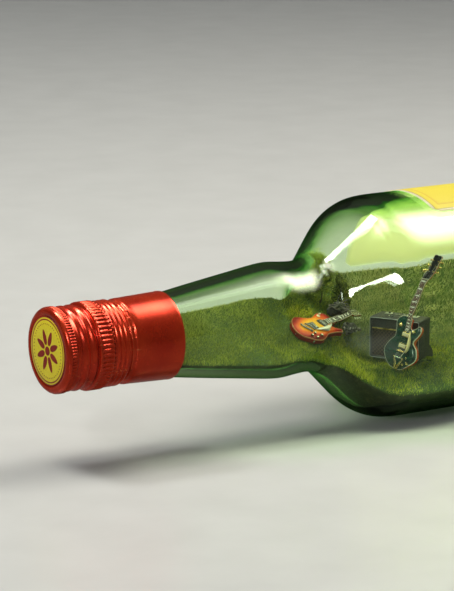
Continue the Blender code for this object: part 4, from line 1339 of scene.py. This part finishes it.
def build_knobs(guitar, look, slot):
    """Fluted knobs, each with a cap and a pointer, on their own bodies."""
    skirt = [(0.0, 12.0), (2.0, 12.4), (3.5, 11.4), (12.0, 9.6), (13.5, 9.2), (14.5, 8.2)]
    for i, (x, y) in enumerate(guitar.knobs, 1):
        bm = bmesh.new()
        turned(bm, (x, y, DECK), skirt, 48, ripple=lambda t: 1.0 + 0.018 * cos(24 * t))
        turned(bm, (x, y, DECK + 14.3), [(0, 7.2), (0.9, 7.0), (1.2, 5.5)], 32, slot=1)
        box(bm, (x + 7.0, y - 0.7, DECK + 13.6), (x + 12.2, y + 0.7, DECK + 14.9), slot=1)
        guitar.add(f"control_{i}", bm, look, slot, f"knob_{i}", body=f"{guitar.prefix}_knob_{i}_body")


def build_selector(guitar, x, y, look):
    """The selector's lever, on its own body, and the ring round it."""
    lever = [(0.0, 2.4), (9.0, 2.0), (9.5, 3.0), (14.0, 5.6), (20.0, 6.2), (24.0, 4.8), (25.5, 2.6)]
    bm = turned(bmesh.new(), (x, y, TOP_Z + 2.6), lever, 24)
    guitar.add("toggle", bm, look, "cream_plastic", "selector", body=f"{guitar.prefix}_selector_body")
    ring = [(0.0, 15.0), (4.9, 15.0), (5.3, 14.4), (5.3, 7.0), (6.0, 6.6), (6.0, 5.6)]
    guitar.add("toggle_ring", turned(bmesh.new(), (x, y, TOP_Z - 4.0), ring, 36), look, "cream_plastic")


def build_pickup(guitar, word, x, half, look, slot, pole_share):
    """A frame round a cover, with six poles off its middle line by a share of its half width."""
    bm = bmesh.new()

    def ring(reach, wide, height):
        return flat(rounded(x - half - reach, -wide, x + half + reach, wide, 4.0), DECK + height)

    frame_layers = ((0.0, 0.0), (0.0, 5.0), (-1.2, 6.4), (-5.0, 6.4), (-5.0, 0.0))
    skin(bm, [ring(4.0 + grow, 41.0 + grow, height) for grow, height in frame_layers], wrap=True)
    cover_layers = ((0.0, 0.2), (0.0, 10.4), (0.9, 11.6), (1.8, 12.0))
    skin(bm, [ring(-2.0 - shrink, 34.0 - shrink, height) for shrink, height in cover_layers], slot=1)
    for y in steps(-25.0, 25.0, 5):
        turned(bm, (x + half * pole_share, y, DECK + 11.6), [(0, 2.5), (0.9, 2.5), (1.3, 1.9)], 14, slot=2)
    for y in (-37.4, 37.4):
        turned(bm, (x, y, DECK + 6.2), [(0, 2.0), (0.6, 2.0), (0.9, 1.2)], 12, slot=2)
    guitar.add(f"coil_{word}", bm, look, slot, f"pickup_{word}")


def build_bridge(guitar, look):
    """A bar on two posts, with a saddle under each string."""
    outline = rounded(BRIDGE_X - 7.0, -42.0, BRIDGE_X + 7.0, 42.0, 5.0)
    narrow = [(BRIDGE_X + (x - BRIDGE_X) * 0.85, y * 0.985) for x, y in outline]
    bm = skin(bmesh.new(), [flat(outline, DECK + 4.5), flat(outline, DECK + 10.0), flat(narrow, DECK + 11.2)])
    post = [(0, 5.2), (1.0, 5.2), (1.2, 3.0), (3.0, 3.0), (3.1, 6.0), (4.6, 6.0)]
    for side in (-1.0, 1.0):
        turned(bm, (BRIDGE_X, side * 36.5, DECK), post, 18)
        turned(bm, (BRIDGE_X, side * 37.5, DECK + 10.5), [(0, 3.0), (1.6, 3.0), (2.2, 2.2)], 14)
    for k in range(6):
        x, y = BRIDGE_X - 1.0 + 0.5 * (k % 3), guitar.string(k, BRIDGE_X)[0]
        rings = []
        for a, b, z in ((3.6, 3.0, DECK + 10.0), (0.9, 2.8, DECK + 14.4)):
            rings.append([(x - a, y - b, z), (x + a, y - b, z), (x + a, y + b, z), (x - a, y + b, z)])
        skin(bm, rings, slot=1)
    guitar.add("saddle_bridge", bm, look, guitar.metal, "bridge", bevel=0.4)


def build_guard(guitar, outline, look, slot):
    """A bevelled plate held over the top by two screws."""
    shape = flat_spline(outline, 5, closed=True)
    z = TOP_Z + 8.0
    bm = skin(bmesh.new(), [flat(shape, z), flat(shape, z + 1.6), flat(inset(shape, -1.3), z + 2.6)])
    guitar.add("guard", bm, look, slot, "pickguard")
    bm = bmesh.new()
    middle = sum((Vector(point) for point in shape), Vector((0.0, 0.0))) / len(shape)
    for share in (0.12, 0.62):
        spot = Vector(shape[int(share * len(shape))]).lerp(middle, 0.22)
        turned(bm, (*spot, TOP_Z - 1.0), [(0, 2.4), (8.6, 2.4)], 12)
        turned(bm, (*spot, z + 2.4), [(0, 3.2), (0.5, 3.1), (1.1, 1.8)], 14)
    guitar.add("guard_screws", bm, guitar.metal, "nickel")


def build_buttons(guitar, jack_y, node=None):
    """The strap buttons and the output jack's plate."""
    bm = bmesh.new()
    button = ((0.0, 4.0), (5.0, 3.4), (7.5, 5.0), (9.5, 6.4), (10.5, 5.6))
    for x, y, aim in ((-0.5, 0.0, (-1, 0, 0)), (BODY_LONG - 4.0, 60.0, (0.86, 0.5, 0.0))):
        turned(bm, (x, y, 26.0), button, 16, spin=Vector(aim).to_track_quat("Z", "Y"))
    spin = Vector((-0.35, -0.94, 0.0)).normalized().to_track_quat("Z", "Y")
    for low, high, r in ((-1.0, 1.2, 15.0), (1.0, 3.0, 7.0)):
        turned(bm, (70.0, jack_y, 24.0), ((low, r), (high, r)), 24, spin=spin)
    guitar.add("buttons", bm, guitar.metal, guitar.metal, node)


def build_burst(looks):
    guitar = Guitar("burst", BURST_KNOBS, BURST_SCALE, 716.0, 905.0, 326.0, "nickel", "cream_plastic", looks)
    outline = body_outline(165.0, (414.0, -118.0), 366.0, 0.9, 124.0)
    build_body(guitar, outline, "burst_finish", "amber_binding")
    from_nut = ((0, 21.5), (18, 22.5), (42, 30), (62, 31))
    from_tip = ((-46, 34.5), (-20, 35), (-22, 22), (-9, 11), (-12, 0.01))
    build_neck(guitar, from_nut, from_tip, "cherry_neck", "rosewood")
    build_inlays(guitar, 3, 0.2, 0.62, 0.80)
    posts = build_tuners(guitar, "button_pearl")
    build_knobs(guitar, "amber_knob nickel", "dark_plastic")
    build_selector(guitar, 352.0, 84.0, "cream_plastic")
    for word, x in (("bridge", 190.0), ("neck", 296.0)):
        build_pickup(guitar, word, x, 18.0, "ring_black pickup_cover nickel", "nickel", 0.42)
    build_bridge(guitar, "pickup_cover nickel")
    rings = []
    for y in steps(-52.0, 52.0, 20):
        swell = 1.0 - 0.25 * (abs(y) / 52.0) ** 6
        rings.append(oval((STOP_BAR_X, y, TOP_Z + 8.4), (7.6 * swell, 0, 0), (0, 0, 5.0 * swell), 14))
    bm = skin(bmesh.new(), rings)
    for y in (-41.0, 41.0):
        turned(bm, (STOP_BAR_X, y, TOP_Z - 1.0), [(0, 5.6), (5.0, 5.6)], 18)
        turned(bm, (STOP_BAR_X, y, TOP_Z + 12.4), [(0, 5.4), (1.3, 5.2), (1.8, 3.0)], 18)
    guitar.add("stop_bar", bm, "pickup_cover", "nickel", "tailpiece")
    guard = [(176.0, -45.5), (260.0, -45.0), (340.0, -43.0), (359.0, -38.0), (357.0, -48.0), (318.0, -70.0)]
    guard += [(280.0, -90.0), (266.0, -94.0), (250.0, -90.0), (205.0, -66.0), (172.0, -50.0)]
    build_guard(guitar, guard, "cream_guard", "cream_plastic")
    build_strings(guitar, STOP_BAR_X, TOP_Z + 12.0, posts)
    build_buttons(guitar, -125.1)


def build_jet(looks):
    guitar = Guitar("jet", JET_KNOBS, JET_SCALE, 778.0, 985.0, 318.0, "gold_plate", "ivory_binding", looks)
    build_body(guitar, body_outline(168.0, (396.0, -106.0), 352.0), "green_finish", "ivory_binding")
    from_nut = ((0, 21.5), (20, 23), (44, 29), (70, 31))
    from_tip = ((-60, 33), (-22, 36), (-9, 31), (-4, 16), (-8, 0.01))
    build_neck(guitar, from_nut, from_tip, "cherry_bright", "warm_board")
    build_inlays(guitar, 1, 0.32, 0.78, 0.78)
    posts = build_tuners(guitar, "gold_plate")
    build_knobs(guitar, "gold_plate gold_plate", "gold_plate")
    build_selector(guitar, 356.0, 84.0, "gold_plate")
    for word, x in (("bridge", 196.0), ("neck", 292.0)):
        build_pickup(guitar, word, x, 15.0, "gold_plate coil_cream gold_plate", "pickup_cream", 0.0)
    build_bridge(guitar, "gold_plate gold_plate")
    guard = [(152.0, -48.0), (200.0, -45.0), (270.0, -45.0), (330.0, -45.0), (337.0, -49.0), (325.0, -60.0)]
    guard += [(270.0, -84.0), (225.0, -93.0), (186.0, -89.0), (160.0, -70.0)]
    build_guard(guitar, guard, "gold_guard", "gold_guard")
    build_strings(guitar, 101.0, TOP_Z + 22.2, posts)
    build_buttons(guitar, -139.0, "strap_button")
    build_vibrato(guitar)


def build_vibrato(guitar):
    """The two-legged frame with its cheeks, the roller with string pins, and the arm on the roller."""
    x, z = ROLLER_X, TOP_Z + 18.0
    leg = [(5.0, 3.0), (5.0, 15.0), (40.0, 27.0), (84.0, 46.0)]
    leg += [(102.0, 46.0), (102.0, 36.0), (88.0, 36.0), (48.0, 10.0)]
    bm = bmesh.new()
    for side in (-1.0, 1.0):
        curve = flat_spline([(a, b * side) for a, b in leg], 3, closed=True)
        skin(bm, [flat(curve, DECK), flat(curve, TOP_Z + 6.0), flat(inset(curve, side), TOP_Z + 7.0)])
        low, high = sorted((side * 36.6, side * 45.4))
        rings = []
        for y, grow in ((low, -0.8), (low + 1.0, 0.0), (high - 1.0, 0.0), (high, -0.8)):
            a, b = 6.4 + grow, 6.8 + grow
            cheek = [(x - 1.0 + a * cos(turn), y, z - 3.0 + b * sin(turn)) for turn in steps(0, pi, 12)]
            rings.append(cheek + [(x - 7.4, y, TOP_Z + 3.0), (x + 5.4, y, TOP_Z + 3.0)])
        skin(bm, rings)
    box(bm, (-2.0, -13.0, 20.0), (0.6, 13.0, TOP_Z - 6.0))
    box(bm, (0.0, -13.0, TOP_Z - 9.0), (14.0, 13.0, TOP_Z + 6.0))
    guitar.add("vee_tail", bm, "gold_plate", "gold_plate", "vibrato_frame", bevel=0.6)

    end = ((27.9, 5.4), (30.0, 5.6), (31.0, 6.8), (34.0, 6.2), (35.0, 2.6))
    profile = [(-y, r) for y, r in reversed(end)] + list(end)
    bm = turned(bmesh.new(), (x, 0.0, z), profile, 24, spin=SIDEWAYS)
    for k in range(6):
        turned(bm, (x, guitar.string(k, 98.0)[0], z + 4.8), [(0, 1.7), (2.4, 1.7), (3.0, 1.1)], 10)
    box(bm, (x + 1.0, -30.0, z + 5.5), (x + 15.0, -18.0, z + 6.4))
    box(bm, (x - 3.0, -32.0, z + 3.0), (x + 1.2, -28.5, z + 6.4))
    guitar.add("roller", bm, "nickel", "nickel", "vibrato_roller", body="jet_roller_body", bevel=0.4)

    pin = Vector((x + 8.0, -24.0, z + 8.5))
    rings = []
    for t in steps(0, 1, 18):
        point = pin + Vector((104.0 * t, -34.0 * sin(1.9 * t), 12.0 * t))
        half = 4.2 + 2.4 * ease(0.55, 0.95, t) - 2.5 * ease(0.96, 1.0, t)
        rings.append(oval(point, (0.3 * half, half, 0), (0, 0, 2.6 - 0.9 * t), 14))
    bm = skin(bmesh.new(), rings)
    hub = [(0, 6.4), (1.0, 6.6), (5.4, 6.4), (7.0, 4.4), (8.4, 3.8), (8.8, 2.0)]
    turned(bm, pin - Vector((0, 0, 2.4)), hub, 20)
    guitar.add("arm", bm, "arm_bright", "nickel", "vibrato_arm", body="jet_arm_body")


# Stage


def build_stage():
    """A pale sweep under and behind the bottle, and the room's light.

    The floor is darker in reflections and in what the glass bends, and pale where a ray looks right through.
    """
    g = Graph("pale_floor")
    shade = g.ramp(g.noise(40.0, 4.0), (0.3, (0.52, 0.53, 0.52)), (0.7, (0.56, 0.57, 0.56)))
    path = g.node("LightPath").outputs
    shade = g.mix(g.mul(path["Is Diffuse Ray"], 0.5), shade, (0.30, 0.31, 0.30))
    mirrored = g.math("MAXIMUM", path["Is Glossy Ray"], path["Is Transmission Ray"])
    shade = g.mix(mirrored, shade, (0.10, 0.105, 0.10))
    shade = g.mix(g.math("GREATER_THAN", path["Transmission Depth"], 3.5), shade, (0.56, 0.58, 0.56))
    bm = bmesh.new()
    profile = [(-2.2, 0.0), (1.2, 0.0)]
    profile += [(1.2 + 0.6 * sin(a), 0.6 - 0.6 * cos(a)) for a in steps(0.1, pi / 2, 10)] + [(1.8, 3.0)]
    left, right = ([bm.verts.new((x, y, z)) for y, z in profile] for x in (-3.0, 3.0))
    for i in range(len(profile) - 1):
        bm.faces.new((left[i], right[i], right[i + 1], left[i + 1])).smooth = True
    mesh = bpy.data.meshes.new("sweep")
    bm.to_mesh(mesh)
    bm.free()
    mesh.materials.append(g.finish(Base_Color=shade, Roughness=0.32))
    floor = bpy.data.objects.new("sweep", mesh)
    bpy.context.scene.collection.objects.link(floor)
    floor.location.z = CAD_LOW.z - 0.0002

    world = bpy.data.worlds.new("soft_room")
    bpy.context.scene.world = world
    world.use_nodes = True
    sky = world.node_tree.nodes["Background"]
    sky.inputs["Color"].default_value = (0.84, 0.88, 0.90, 1.0)
    g = Graph(tree=world.node_tree)
    path = g.node("LightPath").outputs
    shade = g.node("MapRange", Value=path["Is Glossy Ray"], To_Min=0.14, To_Max=0.05).outputs[0]
    view = g.node("MapRange", Value=path["Is Camera Ray"], To_Min=shade, To_Max=0.62).outputs[0]
    g.set(sky.inputs["Strength"], view)


def area_light(name, at, aim, size, power, colour=(1, 1, 1), roll=0.0, edge=None):
    """A softbox. edge is the share of its half width, then of its half height, over which it fades out."""
    light = bpy.data.lights.new(name, "AREA")
    light.shape = "RECTANGLE"
    light.size, light.size_y = size
    light.energy = power
    light.color = colour
    if edge:
        light.use_nodes = True
        g = Graph(tree=light.node_tree)
        emission = next(n for n in g.tree.nodes if n.type == "EMISSION")
        where = g.split(g.node("NewGeometry").outputs["Parametric"])
        fades = [g.span(g.math("PINGPONG", where[axis], 0.5), 0.0, 0.5 * edge[axis]) for axis in (0, 1)]
        g.set(emission.inputs["Strength"], g.mul(*fades))
    obj = bpy.data.objects.new(name, light)
    bpy.context.scene.collection.objects.link(obj)
    away = (Vector(at) - Vector(aim)).normalized()
    side = UP.cross(away).normalized()
    turn = axes(side, away.cross(side), away) @ Matrix.Rotation(radians(roll), 4, "Z")
    obj.matrix_world = Matrix.Translation(at) @ turn


def build_lights():
    """A broad key over the base, a window at the front left, softboxes behind and over the neck, a wash."""
    front = (-0.03, -0.028, 0.054)
    back = (-0.03, -0.011, 0.068)
    key_tint, neck_tint = (1.0, 0.94, 0.83), (1.0, 0.96, 0.84)
    window_tint, rear_tint = (1.0, 0.99, 0.96), (1.0, 1.0, 0.97)
    soft = (0.95, 0.95)
    area_light("key", (0.57, 0.05, 0.86), (0.02, 0.0, 0.04), (0.92, 0.78), 30.0, key_tint, edge=soft)
    area_light("window", (-0.707, -0.447, 0.493), front, (0.20, 0.075), 2.6, window_tint, -44.2, (0.4, 0.3))
    area_light("rear", (-0.468, 0.576, 1.173), back, (0.28, 0.40), 12.0, rear_tint, 45.2, (0.5, 0.5))
    area_light("neck", (-0.22, 0.16, 0.72), (-0.07, 0.0, 0.04), (0.50, 0.34), 7.0, neck_tint, edge=soft)
    area_light("wall", (0.0, 0.30, 1.9), (0.6, 1.8, 0.9), (1.6, 0.8), 12.0)


def build_camera():
    yaw, pitch = radians(CAMERA_YAW), radians(CAMERA_PITCH)
    ahead = Vector((sin(yaw) * cos(pitch), cos(yaw) * cos(pitch), -sin(pitch)))
    data = bpy.data.cameras.new("camera")
    data.lens = CAMERA_LENS
    data.sensor_width = CAMERA_SENSOR
    data.clip_start = 0.01
    camera = bpy.data.objects.new("camera", data)
    bpy.context.scene.collection.objects.link(camera)
    camera.location = CAMERA_AIM - ahead * CAMERA_FAR
    camera.rotation_euler = ahead.to_track_quat("-Z", "Y").to_euler()
    bpy.context.scene.camera = camera
    bpy.context.scene.view_settings.view_transform = "Standard"


def group_looks():
    """The finishes of the amplifier and the guitars, by name.

    The frame holds materials of its own, so Blender may add a number to a name that is taken.
    """
    looks = [
        covering_material(),
        grille_material(),
        plain_material("piping_grey", (0.28, 0.30, 0.29), 0.5, scale=2.0),
        metal_material("strip_gold", (0.86, 0.62, 0.22), 0.28),
        plain_material("panel_dark", (0.030, 0.032, 0.033), 0.45, 0.25, 3.0),
        metal_material("panel_metal", (0.55, 0.56, 0.56), 0.3),
        plain_material("speaker_cone", (0.05, 0.048, 0.045), 0.8, 0.2, 2.0),
        plain_material("foot_rubber", (0.02, 0.02, 0.02), 0.7, 0.2, 3.0),
        plain_material("strap_leather", (0.022, 0.02, 0.019), 0.5, 0.25, 4.0),
        burst_material(),
        jet_material(),
        plain_material("cream_plastic", (0.82, 0.74, 0.52), 0.35),
        plain_material("cream_guard", (0.80, 0.76, 0.60), 0.25, coat=0.4),
        plain_material("ivory_binding", (0.66, 0.64, 0.50), 0.35),
        wood_material("cherry_neck", (0.12, 0.012, 0.006), (0.30, 0.03, 0.012), 0.25, 0.6),
        wood_material("cherry_bright", (0.34, 0.035, 0.012), (0.60, 0.085, 0.03), 0.25, 0.6),
        wood_material("rosewood", (0.008, 0.005, 0.004), (0.028, 0.016, 0.010), 0.5),
        plain_material("ring_black", (0.020, 0.019, 0.018), 0.4, 0.3, 0.3),
        metal_material("pickup_cover", (0.13, 0.13, 0.14), 0.38),
        wood_material("warm_board", (0.045, 0.018, 0.010), (0.14, 0.06, 0.032), 0.5),
        plain_material("head_black", (0.010, 0.010, 0.013), 0.18, 0.3, coat=0.8),
        metal_material("nickel", (0.66, 0.66, 0.64), 0.22),
        metal_material("string_steel", (0.60, 0.58, 0.54), 0.25),
        metal_material("arm_bright", (0.88, 0.86, 0.80), 0.14),
        metal_material("gold_plate", (0.90, 0.66, 0.26), 0.22),
        plain_material("gold_guard", (0.78, 0.66, 0.34), 0.25, coat=0.5),
        plain_material("coil_cream", (0.72, 0.63, 0.42), 0.35),
        plain_material("pearl", (0.80, 0.80, 0.74), 0.2, 0.2, 0.08, 0.4),
        plain_material("button_pearl", (0.62, 0.66, 0.50), 0.25, 0.2, 0.2, 0.3),
        plain_material("amber_binding", (0.46, 0.20, 0.07), 0.35),
        plain_material("amber_knob", (0.10, 0.035, 0.008), 0.18, 0.3, coat=0.8),
    ]
    return {look.name.split(".")[0]: look for look in looks}


def main():
    foil = foil_material()
    build_glass(glass_material())
    ink = worn_material("badge_ink", (0.28, 0.015, 0.01), 0.4, 1500.0)
    build_cap(foil, badge_material(), ink, worn_material("liner_white", (0.82, 0.82, 0.78), 0.65, 2500.0))
    build_sleeve(foil)
    build_label(label_material())
    turf = build_turf(turf_material())
    green = ((0.045, 0.085, 0.006), (0.26, 0.35, 0.022), (0.66, 0.68, 0.060))
    straw = ((0.26, 0.27, 0.03), (0.62, 0.58, 0.10), (0.90, 0.80, 0.22))
    blades = (("grass_green", green), ("grass_straw", straw))
    build_grass(turf, [blade_material(name, *colours, meadow=True) for name, colours in blades])
    mid = ((0.035, 0.060, 0.012), (0.13, 0.17, 0.035), (0.34, 0.38, 0.09))
    # Pale colours for the sapling's upper leaves, painted sunlight.
    light = ((0.30, 0.42, 0.03), (0.62, 0.76, 0.08), (0.92, 0.96, 0.30))
    olive = ((0.08, 0.11, 0.018), (0.30, 0.35, 0.050), (0.58, 0.62, 0.11))
    olive_leaf = blade_material("leaf_olive", *olive, through=0.5)
    build_shrub([blade_material("leaf_mid", *mid, through=0.5), olive_leaf])
    bark = rock_material("bark", (0.05, 0.04, 0.02), (0.16, 0.13, 0.07))
    build_sapling([blade_material("leaf_painted_sunlit", *light, through=0.6), olive_leaf], bark)
    dark_rock = rock_material("rock_dark", (0.018, 0.018, 0.018), (0.12, 0.115, 0.105))
    pale_rock = rock_material("rock_pale", (0.25, 0.23, 0.19), (0.62, 0.59, 0.52))
    build_stones(dark_rock, pale_rock, rock_material("dead_wood", (0.08, 0.07, 0.06), (0.34, 0.31, 0.27)))
    looks = group_looks()
    build_amp(looks)
    build_burst(looks)
    build_jet(looks)
    build_stage()
    build_lights()
    build_camera()


main()
